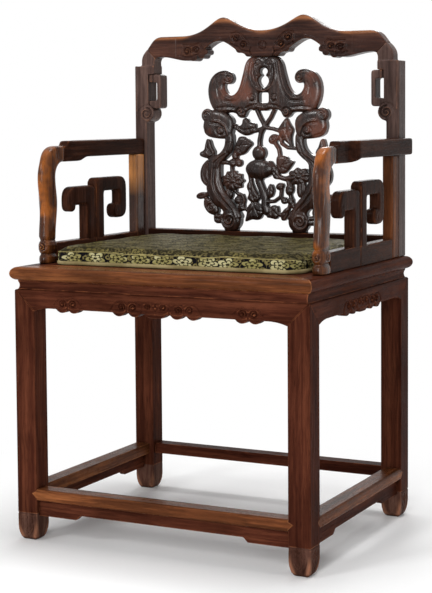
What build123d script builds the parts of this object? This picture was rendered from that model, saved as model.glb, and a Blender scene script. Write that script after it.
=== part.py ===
from build123d import *
import os

os.makedirs("parts", exist_ok=True)

# Openwork armchair of dark hardwood with a loose seat cushion.
# Millimetres. Origin on the floor, midway between the four legs; +X is the viewer's
# right seen from the front, +Y the back, +Z up. "left" and "right" are the viewer's.

# ------------------------------------------------------------ legs and floor stretchers
leg_span_x = 588.0  # over the outer faces of the legs
leg_span_y = 480.0
leg_size = 41.5
leg_edge_r = 2.0
foot_inset = 10.0  # how far the foot draws in at the floor
foot_rise = 34.0
stretcher_top = 97.0
stretcher_h = 21.0
stretcher_depth = 32.0
stretcher_edge_r = 4.0
tenon_l = 14.0  # stretcher tenons: into the leg, across, up
tenon_w = 11.0
tenon_h = 11.0
tip_len = 9.0  # pointed tip of a stretcher let into the leg's face
tip_depth = 5.0
tip_rise = 13.0  # height of the point over the stretcher's underside
strip_setback = 9.0
strip_thick = 10.0
strip_h = 21.0
strip_stub = 5.0  # strip ends housed in the legs
bracket_len = 80.0
bracket_drop = 8.5
bracket_r = 5.0

# ------------------------------------------------------------ aprons and waist
waist_h = 16.5
waist_inset = 5.0
waist_thick = 10.0
waist_hollow = 2.0
waist_lip = 2.5
apron_h = 33.0
apron_thick = 18.0
apron_corner_w = 35.0
apron_corner_drop = 6.5
mitre_lap = 10.0
cloud_r = 14.0
cloud_rise = 7.5  # centre of a cloud scroll above the straight lower edge
cloud_outer_x = 74.0
cloud_inner_x = 42.0
cloud_mid_w = 18.0
side_cloud_x = 180.0  # middle of the paired scrolls near each front leg
side_cloud_pitch = 25.0

# ------------------------------------------------------------ seat frame and panel
seat_top = 505.5
frame_thick = 24.0
frame_overhang = 6.5
frame_rail_w = 62.0
panel_thick = 12.0
panel_tongue = 7.0
panel_tongue_h = 5.0
panel_tongue_below = 5.5  # from the seat's top down to the tongue
groove_room = 0.5
batten_x = 90.0
batten_w = 30.0
batten_h = 16.0
batten_tenon_l = 10.0
batten_tenon_w = 14.0
batten_tenon_h = 7.0
batten_shoulder = 2.0
corner_tongue_in = 10.0  # from the frame's inner edge
corner_tongue_w = 16.0
corner_tongue_h = 5.0
corner_tongue_len = 40.0
corner_tongue_stop = 17.0  # from the frame's outer edge
corner_tongue_below = 6.0
leg_tenon_w = 16.0
leg_tenon_h = 12.0

# ------------------------------------------------------------ back
post_set_in = 5.5  # outer face of the back posts inside the legs' outer faces
post_w = 26.5
post_set_forward = 39.0  # front of the back posts before the legs' back faces
post_depth = 38.0
post_edge_r = 2.5
post_tenon_in = 12.5  # middle of the foot tenon from the post's outer face
post_tenon_w = 14.0
post_tenon_l = 20.0
post_tenon_h = 9.0
boss_rise = 278.5  # heights called rise are over the seat's top
boss_r = 17.5
boss_out = 1.0  # middle of the boss outside the post's inner face
post_wide_w = 31.0  # above the scroll boss
post_wide_rise = 296.5
post_top_w = 44.5  # under the crest
post_shoulder_rise = 375.5
post_shoulder_w = 13.5
inner_corner_r = 10.0
corner_w = 47.0
corner_h = 50.0
ring_rise = 288.5
ring_h = 70.0
ring_w = 27.5
ring_bar = 9.0
ring_cap = 16.0
ring_depth = 32.0
ring_corner_r = 6.0
ring_tenon_l = 8.0
ring_tenon_w = 12.0
ring_tenon_h = 8.0
crest_depth = 32.0
crest_edge_r = 5.0
crest_dip_rise = 441.5
crest_peak_x = 89.0
crest_peak_rise = 469.5
crest_flat_x = 180.0
crest_flat_rise = 434.5
crest_under_rise = 393.5
crest_middle_w = 38.0
crest_middle_rise = 389.0
crest_lobe_x = 50.0
crest_lobe_rise = 399.5
crest_arch_x = 93.0
crest_arch_rise = 422.5
crest_scroll_x = 156.0
crest_scroll_rise = 387.5
crest_tenon_l = 16.0
crest_tenon_w = 10.0
crest_tenon_h = 10.0
crest_tenon_up = 7.5  # middle of the tenon over the mitre's lower end
tenon_root = 1.0  # length of a tenon inside its own piece
back_rail_h = 40.5
back_rail_depth = 28.0
back_tenon_l = 18.0
back_tenon_w = 10.0
back_tenon_h = 22.0

# ------------------------------------------------------------ openwork of the splat
splat_w = 300.0
splat_depth = 26.0
vine_depth = 18.0
splat_tenon_l = 16.0
splat_tenon_w = 8.0
splat_tenon_h = 8.0
crown_knob_x = 49.0
crown_knob_r = 9.0
crown_knob_drop = 112.0  # drops are under the crest's middle
keyhole_r = 9.0
keyhole_h = 30.0
keyhole_drop = 41.0
crown_window = 20.0
crown_window_drop = 79.0
ear_r = 14.0
foot_x = 76.0
foot_r = 21.0
foot_sink = 1.0  # of the foot scroll into the back rail
gourd_r = 15.0
gourd_rx = 30.0
gourd_rz = 19.5
flower_r = 25.0
berry_r = 11.0
stem_w = 9.0

# ------------------------------------------------------------ arms
arm_set_in = 6.0  # outer face of the arm posts inside the legs' outer faces
arm_thick = 21.0
arm_edge_r = 2.0
arm_tenon_l = 16.0  # along the arm, across, into the mate
arm_tenon_w = 10.0
arm_tenon_h = 9.0
arm_top_rise = 227.5
arm_pad_h = 9.0
arm_pad_in = 75.0  # lengths called in are behind the front face of the front arm post
arm_pad_slant = 5.0
arm_under_rise = 195.5
arm_front_under_rise = 188.0
arm_joint_in = 64.0
arm_step_in = 118.0
arm_step_run = 36.0
arm_board_out = 14.0  # overhang of the arm board outside the posts
arm_flare_in = 110.0
arm_flare_run = 32.0
arm_end_out = 5.0  # end of the arm board behind the legs' back faces
arm_end_r = 6.0
front_post_set_back = 70.0  # front arm post behind the legs' front faces
front_post_depth = 37.0
front_post_top_in = 46.0
front_post_edge_r = 6.0
front_post_knee_rise = 55.0
front_post_knee_out = 1.0
front_post_waist_rise = 100.0
front_post_waist_in = 2.0
front_post_swell_drop = 53.5  # under the top of the post
front_post_swell_out = 5.0
front_post_bend_drop = 16.0
front_post_bend_in = 10.0
front_post_back_rise = 115.0
front_post_back_out = 5.0
front_post_heel_in = 2.0
rear_post_depth = 32.0
bottom_rail_h = 37.5
bottom_rail_housing = 3.0  # depth of its front end let into the front arm post
fret_seam_y = 6.0
fret_top_r = 9.0
fret_r = 5.5
front_fret_w = 33.0
front_fret_rise = 139.5
front_fret_bar = 36.0
front_hook_reach = 96.0  # from the seam between the frets
front_hook_w = 24.0
front_hook_rise = 91.5
rear_fret_w = 34.0
rear_fret_rise = 153.5
rear_fret_bar = 27.0
rear_hook_reach = 121.5
rear_hook_w = 29.5
rear_hook_rise = 70.5
rear_lip_reach = 71.0
rear_lip_rise = 98.5
fret_tenon_h = 8.0

# ------------------------------------------------------------ cushion
cushion_side_gap = 17.0  # to the arms
cushion_front_gap = 68.5  # to the seat's front edge
cushion_back_gap = 4.0  # to the back posts
cushion_h = 32.0
cushion_corner_r = 38.0
cushion_edge_r = 9.0
soft_gap = 0.3

# ------------------------------------------------------------ places worked out from the sizes
leg_x = leg_span_x / 2
leg_y = leg_span_y / 2
leg_in_x = leg_x - leg_size
leg_in_y = leg_y - leg_size
frame_x = leg_x + frame_overhang
frame_y = leg_y + frame_overhang
frame_in_x = frame_x - frame_rail_w
frame_in_y = frame_y - frame_rail_w
frame_bottom = seat_top - frame_thick
panel_bottom = seat_top - panel_thick
shoulder_z = frame_bottom - waist_h
apron_bottom = shoulder_z - apron_h
corner_z = apron_bottom - apron_corner_drop
stretcher_bottom = stretcher_top - stretcher_h
post_outer_x = leg_x - post_set_in
post_in_x = post_outer_x - post_w
post_tenon_x = post_outer_x - post_tenon_in
post_front_y = leg_y - post_set_forward
post_wide_x = post_outer_x - post_wide_w
post_top_x = post_outer_x - post_top_w
head_outer_x = post_outer_x - post_shoulder_w
post_back_y = post_front_y + post_depth
back_y = post_front_y + post_depth / 2
boss_x = post_in_x + boss_out
boss_z = seat_top + boss_rise
post_wide_z = seat_top + post_wide_rise
post_shoulder_z = seat_top + post_shoulder_rise
ring_z = seat_top + ring_rise
ring_top_z = ring_z + ring_h
crest_dip_z = seat_top + crest_dip_rise
crest_peak_z = seat_top + crest_peak_rise
crest_flat_z = seat_top + crest_flat_rise
crest_under_z = seat_top + crest_under_rise
crest_middle_z = seat_top + crest_middle_rise
crest_lobe_z = seat_top + crest_lobe_rise
crest_arch_z = seat_top + crest_arch_rise
crest_scroll_z = seat_top + crest_scroll_rise
back_rail_z = seat_top + back_rail_h
arm_outer_x = leg_x - arm_set_in
arm_in_x = arm_outer_x - arm_thick
arm_mid_x = arm_outer_x - arm_thick / 2
arm_top_z = seat_top + arm_top_rise
arm_pad_z = arm_top_z - arm_pad_h
arm_under_z = seat_top + arm_under_rise
arm_front_under_z = seat_top + arm_front_under_rise
front_post_y = -leg_y + front_post_set_back
front_post_top_y = front_post_y + front_post_top_in
front_post_rear_y = front_post_y + front_post_depth
arm_pad_y = front_post_y + arm_pad_in
arm_joint_y = front_post_y + arm_joint_in
arm_step_y = front_post_y + arm_step_in
arm_flare_y = front_post_y + arm_flare_in
arm_end_y = leg_y + arm_end_out
bottom_rail_z = seat_top + bottom_rail_h
front_fret_top = seat_top + front_fret_rise
front_hook_y = fret_seam_y - front_hook_reach
front_hook_z = seat_top + front_hook_rise
rear_fret_top = seat_top + rear_fret_rise
rear_hook_y = fret_seam_y + rear_hook_reach
rear_hook_z = seat_top + rear_hook_rise
rear_lip_y = fret_seam_y + rear_lip_reach
rear_lip_z = seat_top + rear_lip_rise


def save(name, piece):
    piece.part.label = name
    export_step(piece.part, f"parts/{name}.step")


def front_plane(y):
    """Upright plane: sketch x runs right, sketch y runs up, extrudes towards the front."""
    return Plane(origin=(0, y, 0), x_dir=(1, 0, 0), z_dir=(0, -1, 0))


def side_plane(x):
    """Upright plane: sketch x runs to the back, sketch y runs up, extrudes to the right."""
    return Plane(origin=(x, 0, 0), x_dir=(0, 1, 0), z_dir=(1, 0, 0))


def peg(place, size):
    """A square tenon or block centred on a place."""
    with Locations(place):
        Box(*size)


def sink(mates):
    """Cut the piece being made so that its finished mates fit into it."""
    for mate in mates:
        add(mate.part, mode=Mode.SUBTRACT)


def mirrored(piece):
    """The same piece for the other side of the chair."""
    with BuildPart() as twin:
        mirror(piece.part, about=Plane.YZ)
    return twin


def turned(piece, angle):
    """The piece turned about the chair's upright middle line."""
    with BuildPart() as result:
        add(piece.part, rotation=(0, 0, angle))
    return result


# The openwork is drawn on squared paper, 300 squares wide and 348.5 high, which is laid
# over the opening between the back rail and the middle of the crest.
square_w = splat_w / 300
square_h = (crest_middle_z - back_rail_z) / 348.5


def drawn(base, points):
    """Points given in squares: across from the middle and up from a base."""
    return [(across * square_w, base + up * square_h) for across, up in points]


def drawn_ellipse(centres, across, up, rotation=0):
    """Leaves, berries and curls of the openwork, all sizes in squares over the back rail."""
    with Locations(*drawn(back_rail_z, centres)):
        Ellipse(across * square_w, up * square_h, rotation=rotation)


def drawn_block(centre, across, up):
    with Locations(*drawn(back_rail_z, [centre])):
        Rectangle(across * square_w, up * square_h)


# ------------------------------------------------------------ stretchers near the floor
front_span = leg_span_x - 2 * leg_size
side_span = leg_span_y - 2 * leg_size


def stretcher(span, outer):
    """Stretcher along X between two legs, outer face at y = -outer, with tipped ends."""
    middle_y = -outer + stretcher_depth / 2
    middle_z = stretcher_top - stretcher_h / 2
    with BuildPart() as rail:
        peg((0, middle_y, middle_z), (span, stretcher_depth, stretcher_h))
        fillet(rail.edges().filter_by(Axis.X).group_by(Axis.Y)[0], radius=stretcher_edge_r)
        with BuildSketch(front_plane(-outer + tip_depth)):
            for end in (-span / 2, span / 2):
                out = tip_len if end > 0 else -tip_len
                with BuildLine():
                    Polyline(
                        (end, stretcher_bottom + stretcher_edge_r),
                        (end, stretcher_top - stretcher_edge_r),
                        (end + out, stretcher_bottom + tip_rise),
                        close=True,
                    )
                make_face()
        extrude(amount=tip_depth)
        for end in (-1, 1):
            peg((end * (span + tenon_l) / 2, middle_y, middle_z), (tenon_l, tenon_w, tenon_h))
    return rail


def stretcher_strip(span, outer):
    """Shaped strip under a stretcher, deeper at both ends."""
    low = stretcher_bottom - strip_h
    end = span / 2 + strip_stub
    bracket_x = span / 2 - bracket_len
    with BuildPart() as strip:
        with BuildSketch(front_plane(-outer + strip_setback + strip_thick)):
            with BuildLine():
                Polyline(
                    (-end, stretcher_bottom),
                    (end, stretcher_bottom),
                    (end, low - bracket_drop),
                    (bracket_x, low - bracket_drop),
                    (bracket_x - bracket_drop, low),
                    (-bracket_x + bracket_drop, low),
                    (-bracket_x, low - bracket_drop),
                    (-end, low - bracket_drop),
                    close=True,
                )
            make_face()
        extrude(amount=strip_thick)
        step_edges = strip.edges().filter_by(Axis.Y).filter_by_position(Axis.X, -end + 1, end - 1)
        fillet(step_edges, radius=bracket_r)
    return strip


stretcher_front = stretcher(front_span, leg_y)
stretcher_back = turned(stretcher_front, 180)
stretcher_right = turned(stretcher(side_span, leg_x), 90)
stretcher_left = mirrored(stretcher_right)
strip_front = stretcher_strip(front_span, leg_y)
strip_right = turned(stretcher_strip(side_span, leg_x), 90)
strip_left = mirrored(strip_right)


# ------------------------------------------------------------ aprons and waist
def mitre_wedge(outer, cross_outer):
    """Room for a piece along the front whose ends are cut at forty-five degrees."""
    reach = min(outer, cross_outer) / 2
    with BuildPart() as wedge:
        with BuildSketch():
            with BuildLine():
                Polyline(
                    (-cross_outer, -outer),
                    (cross_outer, -outer),
                    (cross_outer - reach, -outer + reach),
                    (-cross_outer + reach, -outer + reach),
                    close=True,
                )
            make_face()
        extrude(amount=seat_top)
    return wedge


def round_shoulder(corner, outward):
    """Round the top outer corner of an upright outline where leg and apron meet the waist."""
    with Locations((corner - outward * waist_inset / 2, shoulder_z - waist_inset / 2)):
        Rectangle(waist_inset, waist_inset, mode=Mode.SUBTRACT)
    with Locations((corner - outward * waist_inset, shoulder_z - waist_inset)):
        Circle(waist_inset)


def middle_cloud():
    """Lower outline of the middle cloud carving: two scrolls each side of a wide one."""
    scroll_z = apron_bottom + cloud_rise
    for x in (-cloud_outer_x, -cloud_inner_x, cloud_inner_x, cloud_outer_x):
        with Locations((x, scroll_z)):
            Circle(cloud_r)
    with Locations((0, scroll_z)):
        SlotCenterToCenter(cloud_mid_w, 2 * cloud_r)


def side_clouds():
    """Lower outline of the paired scrolls near each leg."""
    for middle in (-side_cloud_x, side_cloud_x):
        for step in (-side_cloud_pitch / 2, side_cloud_pitch / 2):
            with Locations((middle + step, apron_bottom + cloud_rise)):
                Circle(cloud_r)


def apron(span, outer, cross_outer, carvings):
    """Apron along X, outer face at y = -outer, its mitred ends lapped over the legs."""
    end = span / 2
    bend = end - apron_corner_w
    with BuildPart() as board:
        with BuildSketch(front_plane(-outer + apron_thick)):
            with BuildLine():
                Line((-bend, apron_bottom), (bend, apron_bottom))
                TangentArc((bend, apron_bottom), (end, corner_z), tangent=(1, 0))
                Polyline((end, corner_z), (end, shoulder_z), (-end, shoulder_z), (-end, corner_z))
                TangentArc((-bend, apron_bottom), (-end, corner_z), tangent=(-1, 0))
            make_face()
            for carving in carvings:
                carving()
        extrude(amount=apron_thick)
        with BuildSketch(front_plane(-outer + mitre_lap)):
            for side in (-1, 1):
                with BuildLine():
                    Polyline(
                        (side * end, corner_z),
                        (side * (end + shoulder_z - corner_z), shoulder_z),
                        (side * end, shoulder_z),
                        close=True,
                    )
                make_face()
        extrude(amount=mitre_lap)
        with BuildSketch(side_plane(-cross_outer)):
            with Locations((-outer + apron_thick / 2, shoulder_z / 2)):
                Rectangle(apron_thick, shoulder_z)
            round_shoulder(-outer, -1)
        extrude(amount=2 * cross_outer, mode=Mode.INTERSECT)
        add(mitre_wedge(outer, cross_outer).part, mode=Mode.INTERSECT)
    return board


def waist_strip(outer, cross_outer):
    """Hollow-faced strip between apron and seat frame."""
    face = -outer + waist_inset
    middle_z = shoulder_z + (waist_h - waist_lip) / 2
    with BuildPart() as strip:
        with BuildSketch(side_plane(-cross_outer)):
            with BuildLine():
                Polyline(
                    (face, shoulder_z),
                    (face + waist_thick, shoulder_z),
                    (face + waist_thick, frame_bottom),
                    (face, frame_bottom),
                    (face, frame_bottom - waist_lip),
                )
                ThreePointArc(
                    (face, frame_bottom - waist_lip), (face + waist_hollow, middle_z), (face, shoulder_z)
                )
            make_face()
        extrude(amount=2 * cross_outer)
        add(mitre_wedge(outer, cross_outer).part, mode=Mode.INTERSECT)
    return strip


apron_front = apron(front_span, leg_y, leg_x, [middle_cloud, side_clouds])
apron_back = turned(apron(front_span, leg_y, leg_x, []), 180)
apron_right = turned(apron(side_span, leg_x, leg_y, [middle_cloud]), 90)
apron_left = mirrored(apron_right)
waist_front = waist_strip(leg_y, leg_x)
waist_back = turned(waist_front, 180)
waist_right = turned(waist_strip(leg_x, leg_y), 90)
waist_left = mirrored(waist_right)


# ------------------------------------------------------------ legs
def leg_outline(middle, outward):
    """Upright outline of a leg: drawn-in foot, rounded outer shoulder."""
    half = leg_size / 2
    with Locations((middle, (foot_rise + shoulder_z) / 2)):
        Rectangle(leg_size, shoulder_z - foot_rise)
    round_shoulder(middle + outward * half, outward)
    with Locations((middle, foot_rise / 2)):
        Rectangle(leg_size - 2 * foot_inset, foot_rise)
    for side in (-1, 1):
        with Locations((middle + side * (half - foot_inset), foot_rise)):
            Ellipse(foot_inset, foot_rise)


def leg(side_y, mates):
    """Right-hand leg at the front (side_y = -1) or at the back (side_y = 1)."""
    middle_x = leg_x - leg_size / 2
    middle_y = side_y * (leg_y - leg_size / 2)
    stub = leg_size - waist_inset - waist_thick
    stub_x = leg_in_x + stub / 2
    stub_y = side_y * (leg_in_y + stub / 2)
    with BuildPart() as post:
        peg((middle_x, middle_y, shoulder_z / 2), (leg_size, leg_size, shoulder_z))
        fillet(post.edges().filter_by(Axis.Z), radius=leg_edge_r)
        with BuildSketch(front_plane(leg_y)):
            leg_outline(middle_x, 1)
        extrude(amount=leg_span_y, mode=Mode.INTERSECT)
        with BuildSketch(side_plane(leg_in_x)):
            leg_outline(middle_y, side_y)
        extrude(amount=leg_size, mode=Mode.INTERSECT)
        peg((stub_x, stub_y, shoulder_z + waist_h / 2), (stub, stub, waist_h))
        tenon_z = frame_bottom + leg_tenon_h / 2
        peg((stub_x, stub_y, tenon_z), (leg_tenon_w, leg_tenon_w, leg_tenon_h))
        sink(mates)
    return post


front_mates = [stretcher_front, stretcher_right, strip_front, strip_right, apron_front, apron_right]
leg_front_right = leg(-1, front_mates)
leg_front_left = mirrored(leg_front_right)
leg_rear_right = leg(1, [stretcher_back, stretcher_right, strip_right, apron_back, apron_right])
leg_rear_left = mirrored(leg_rear_right)

# ------------------------------------------------------------ crown of the splat
with BuildPart() as splat_crown:
    with BuildSketch(front_plane(back_y + splat_depth / 2)):
        with BuildLine():
            Line(*drawn(crest_middle_z, [(0, 0), (18, 0)]))
            Spline(
                *drawn(
                    crest_middle_z,
                    [(18, 0), (38, -18), (46, -45), (54, -72), (72, -80), (86, -66), (78, -54)],
                ),
                *drawn(crest_middle_z, [(66, -46), (70, -33), (88, -28)]),
                tangents=[(1, -0.3), (1, 0)],
            )
            Spline(
                *drawn(crest_middle_z, [(88, -28), (112, -40), (123, -65), (106, -102), (60, -110)]),
                tangents=[(1, 0), (-1, 0)],
            )
            Polyline(*drawn(crest_middle_z, [(60, -110), (44, -104), (20, -101), (0, -100)]))
            mirror(about=Plane.YZ)
        make_face()
        for side in (-1, 1):
            with Locations((side * crown_knob_x, crest_middle_z - crown_knob_drop)):
                Circle(crown_knob_r)
        with Locations((0, crest_middle_z - keyhole_drop)):
            Ellipse(keyhole_r, keyhole_h / 2, mode=Mode.SUBTRACT)
        with Locations((0, crest_middle_z - crown_window_drop)):
            Rectangle(crown_window, crown_window, mode=Mode.SUBTRACT)
    extrude(amount=splat_depth)
    peg(
        (0, back_y, crest_middle_z + splat_tenon_h / 2),
        (splat_tenon_l, splat_tenon_w, splat_tenon_h),
    )

# ------------------------------------------------------------ dragons of the splat
with BuildPart() as dragon_right:
    with BuildSketch(front_plane(back_y + splat_depth / 2)):
        # head, under the horn of the crown
        with BuildLine():
            Polyline(
                *drawn(
                    back_rail_z,
                    [(66, 226), (70, 192), (88, 184), (130, 190), (138, 214), (124, 246), (92, 244)],
                ),
                close=True,
            )
        make_face()
        with Locations(*drawn(back_rail_z, [(127, 232)])):
            Circle(ear_r)
        # body, swelling at the belly and ending in the foot scroll
        with BuildLine():
            Spline(
                *drawn(
                    back_rail_z,
                    [(86, 190), (113, 148), (145, 116), (137, 84), (104, 47), (94, 18)],
                )
            )
            Line(*drawn(back_rail_z, [(94, 18), (58, 24)]))
            Spline(
                *drawn(
                    back_rail_z,
                    [(58, 24), (80, 55), (104, 98), (102, 130), (80, 162), (68, 200)],
                )
            )
            Line(*drawn(back_rail_z, [(68, 200), (86, 190)]))
        make_face()
        with Locations((foot_x, back_rail_z + foot_r - foot_sink)):
            Circle(foot_r)
        with Locations((foot_x, back_rail_z + foot_r / 4)):
            Rectangle(foot_r, foot_r / 2)
        # tassel, leaves and block on the outer side
        drawn_block((128, 168), 9, 44)
        drawn_ellipse([(130, 157)], 16, 9)
        drawn_ellipse([(122, 54)], 14, 24, rotation=25)
        drawn_ellipse([(140, 71)], 14, 7)
        drawn_block((103, 26), 20, 18)
    extrude(amount=splat_depth)
    with BuildSketch(Plane.XY):
        Rectangle(2 * leg_x, 2 * post_back_y)
    extrude(amount=back_rail_z, mode=Mode.SUBTRACT)
    peg((foot_x, back_y, back_rail_z), (splat_tenon_l, splat_tenon_w, 2 * splat_tenon_h))
    sink([splat_crown])
dragon_left = mirrored(dragon_right)

# ------------------------------------------------------------ gourd vine of the splat
with BuildPart() as splat_vine:
    with BuildSketch(front_plane(back_y + vine_depth / 2)):
        # the gourd
        with Locations(*drawn(back_rail_z, [(-12, 158)])):
            Circle(gourd_r)
        with Locations(*drawn(back_rail_z, [(-12, 125)])):
            Ellipse(gourd_rx, gourd_rz)
        # stems
        with BuildLine() as stems:
            Polyline(*drawn(back_rail_z, [(-24, 250), (-4, 214), (18, 250)]))
            Polyline(*drawn(back_rail_z, [(-76, 205), (-50, 190), (-20, 204), (20, 207), (44, 196)]))
            Polyline(*drawn(back_rail_z, [(-13, 206), (-12, 160)]))
            Polyline(*drawn(back_rail_z, [(-4, 158), (38, 158), (84, 148)]))
            Polyline(*drawn(back_rail_z, [(20, 126), (50, 118), (70, 108)]))
            Polyline(*drawn(back_rail_z, [(-104, 132), (-66, 128), (-52, 160), (-60, 190)]))
            Polyline(*drawn(back_rail_z, [(-12, 110), (4, 58), (30, 28), (60, 50)]))
            Polyline(*drawn(back_rail_z, [(-60, 96), (-62, 46), (-24, 40), (4, 58)]))
            Polyline(*drawn(back_rail_z, [(-32, 114), (-28, 80), (-2, 60)]))
        trace(stems.line, line_width=stem_w)
        # flowers
        with Locations(*drawn(back_rail_z, [(-70, 99), (74, 110)])):
            Circle(flower_r)
        # leaves, upper and lower, then the small gourds
        drawn_ellipse([(-38, 211), (45, 205), (44, 136)], 14, 20)
        drawn_ellipse([(-46, 178)], 22, 13, rotation=35)
        drawn_ellipse([(-24, 38), (18, 37)], 18, 16, rotation=40)
        drawn_ellipse([(-60, 133), (44, 64)], 17, 9)
        drawn_ellipse([(40, 90)], 18, 20)
        with Locations(*drawn(back_rail_z, [(-54, 50)])):
            Circle(berry_r)
    extrude(amount=vine_depth)
    sink([splat_crown, dragon_left, dragon_right])

# ------------------------------------------------------------ crest rail and back posts
with BuildPart() as head:
    with BuildSketch(front_plane(back_y + crest_depth / 2)):
        with BuildLine():
            Spline(
                (0, crest_dip_z),
                (crest_peak_x, crest_peak_z),
                (crest_flat_x, crest_flat_z),
                tangents=[(1, 0), (1, 0)],
            )
            Line((crest_flat_x, crest_flat_z), (head_outer_x - corner_w, crest_flat_z))
            Spline(
                (head_outer_x - corner_w, crest_flat_z),
                (head_outer_x - corner_w / 3, crest_flat_z - corner_h * 0.44),
                (head_outer_x, crest_flat_z - corner_h),
                tangents=[(1, 0), (0, -1)],
            )
            Polyline(
                (head_outer_x, crest_flat_z - corner_h),
                (head_outer_x, post_shoulder_z),
                (post_top_x, post_shoulder_z),
                (post_top_x, crest_under_z - inner_corner_r),
            )
            TangentArc(
                (post_top_x, crest_under_z - inner_corner_r),
                (post_top_x - inner_corner_r, crest_under_z),
                tangent=(0, 1),
            )
            Spline(
                (post_top_x - inner_corner_r, crest_under_z),
                (crest_scroll_x, crest_scroll_z),
                (crest_arch_x, crest_arch_z),
                (crest_lobe_x, crest_lobe_z),
                (crest_middle_w / 2, crest_middle_z),
                tangents=[(-1, 0), (-1, -0.4)],
            )
            Line((crest_middle_w / 2, crest_middle_z), (0, crest_middle_z))
            mirror(about=Plane.YZ)
        make_face()
    extrude(amount=crest_depth)
    faces_edges = head.faces().filter_by(Axis.Y).edges()
    top_edges = faces_edges.filter_by(lambda edge: edge.center().Z > crest_flat_z - 2)
    corner_edges = faces_edges.filter_by(
        lambda edge: abs(edge.center().X) > post_top_x + crest_edge_r and edge.center().Z > post_shoulder_z + 1
    )
    fillet(top_edges + corner_edges, radius=crest_edge_r)

mitre_right = Plane(origin=(post_top_x, 0, crest_under_z), z_dir=(1, 0, -1))
mitre_left = Plane(origin=(-post_top_x, 0, crest_under_z), z_dir=(-1, 0, -1))

with BuildPart() as crest_rail:
    add(head.part)
    split(bisect_by=mitre_right, keep=Keep.BOTTOM)
    split(bisect_by=mitre_left, keep=Keep.BOTTOM)
    for side in (-1, 1):
        tenon_x = side * (post_top_x + crest_tenon_l / 2 - tenon_root)
        peg((tenon_x, back_y, crest_under_z + crest_tenon_up), (crest_tenon_l, crest_tenon_w, crest_tenon_h))
    sink([splat_crown])

with BuildPart() as back_rail:
    peg(
        (0, back_y, seat_top + back_rail_h / 2),
        (2 * post_in_x, back_rail_depth, back_rail_h),
    )
    peg(
        (0, back_y, seat_top + back_rail_h / 2),
        (2 * (post_in_x + back_tenon_l), back_tenon_w, back_tenon_h),
    )
    sink([dragon_left, dragon_right])

# ------------------------------------------------------------ open rings on the posts
ring_x = post_wide_x - ring_w / 2
ring_slot_w = ring_w - ring_bar
with BuildPart() as ring_right:
    with BuildSketch(front_plane(back_y + ring_depth / 2)):
        with Locations((ring_x, ring_z + ring_h / 2)):
            Rectangle(ring_w, ring_h)
        with Locations((post_wide_x - ring_slot_w / 2, ring_z + ring_h / 2)):
            Rectangle(ring_slot_w, ring_h - 2 * ring_cap, mode=Mode.SUBTRACT)
        with Locations((boss_x, boss_z)):
            Circle(boss_r, mode=Mode.SUBTRACT)
    extrude(amount=ring_depth)
    fillet(ring_right.edges().filter_by(Axis.Y).group_by(Axis.X)[0], radius=ring_corner_r)
    for bar_z in (ring_z + ring_cap / 2, ring_top_z - ring_cap / 2):
        peg((post_wide_x, back_y, bar_z), (2 * ring_tenon_l, ring_tenon_w, ring_tenon_h))
ring_left = mirrored(ring_right)

# ------------------------------------------------------------ arms
rear_post_y = post_front_y - rear_post_depth
board_x = arm_outer_x + arm_board_out

with BuildPart() as arm_rail_right:
    with BuildSketch(side_plane(arm_in_x)):
        with BuildLine():
            Polyline(
                (arm_step_y, arm_front_under_z),
                (arm_joint_y, arm_front_under_z),
                (arm_joint_y, arm_pad_z),
                (arm_pad_y, arm_pad_z),
                (arm_pad_y + arm_pad_slant, arm_top_z),
                (arm_end_y, arm_top_z),
                (arm_end_y, arm_under_z),
                (arm_step_y + arm_step_run, arm_under_z),
            )
            Spline(
                (arm_step_y + arm_step_run, arm_under_z),
                (arm_step_y, arm_front_under_z),
                tangents=[(-1, 0), (-1, 0)],
            )
        make_face()
    extrude(amount=arm_thick + arm_board_out)
    # plan: narrow over the front post, flared to the overhanging board, past the back post
    with BuildSketch(Plane.XY.offset(arm_front_under_z)):
        with BuildLine():
            Polyline(
                (board_x, arm_flare_y + arm_flare_run),
                (board_x, arm_end_y),
                (post_outer_x, arm_end_y),
                (post_outer_x, post_front_y),
                (arm_in_x, post_front_y),
                (arm_in_x, arm_joint_y),
                (arm_outer_x, arm_joint_y),
                (arm_outer_x, arm_flare_y),
            )
            Spline(
                (arm_outer_x, arm_flare_y),
                (board_x, arm_flare_y + arm_flare_run),
                tangents=[(0, 1), (0, 1)],
            )
        make_face()
    extrude(amount=arm_top_z - arm_front_under_z, mode=Mode.INTERSECT)
    fillet(arm_rail_right.edges().filter_by(Axis.Z).group_by(Axis.Y)[-1], radius=arm_end_r)
    for end_y in (arm_joint_y, post_front_y):
        peg(
            (arm_mid_x, end_y, (arm_front_under_z + arm_pad_z) / 2),
            (arm_tenon_w, 2 * arm_tenon_h, arm_tenon_l),
        )

with BuildPart() as arm_post_rear_right:
    middle_y = rear_post_y + rear_post_depth / 2
    peg(
        (arm_mid_x, middle_y, (seat_top + arm_under_z) / 2),
        (arm_thick, rear_post_depth, arm_under_z - seat_top),
    )
    fillet(arm_post_rear_right.edges().filter_by(Axis.Z), radius=arm_edge_r)
    peg(
        (arm_mid_x, middle_y, (seat_top + arm_under_z) / 2),
        (arm_tenon_w, arm_tenon_l, arm_under_z - seat_top + 2 * arm_tenon_h),
    )

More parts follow.
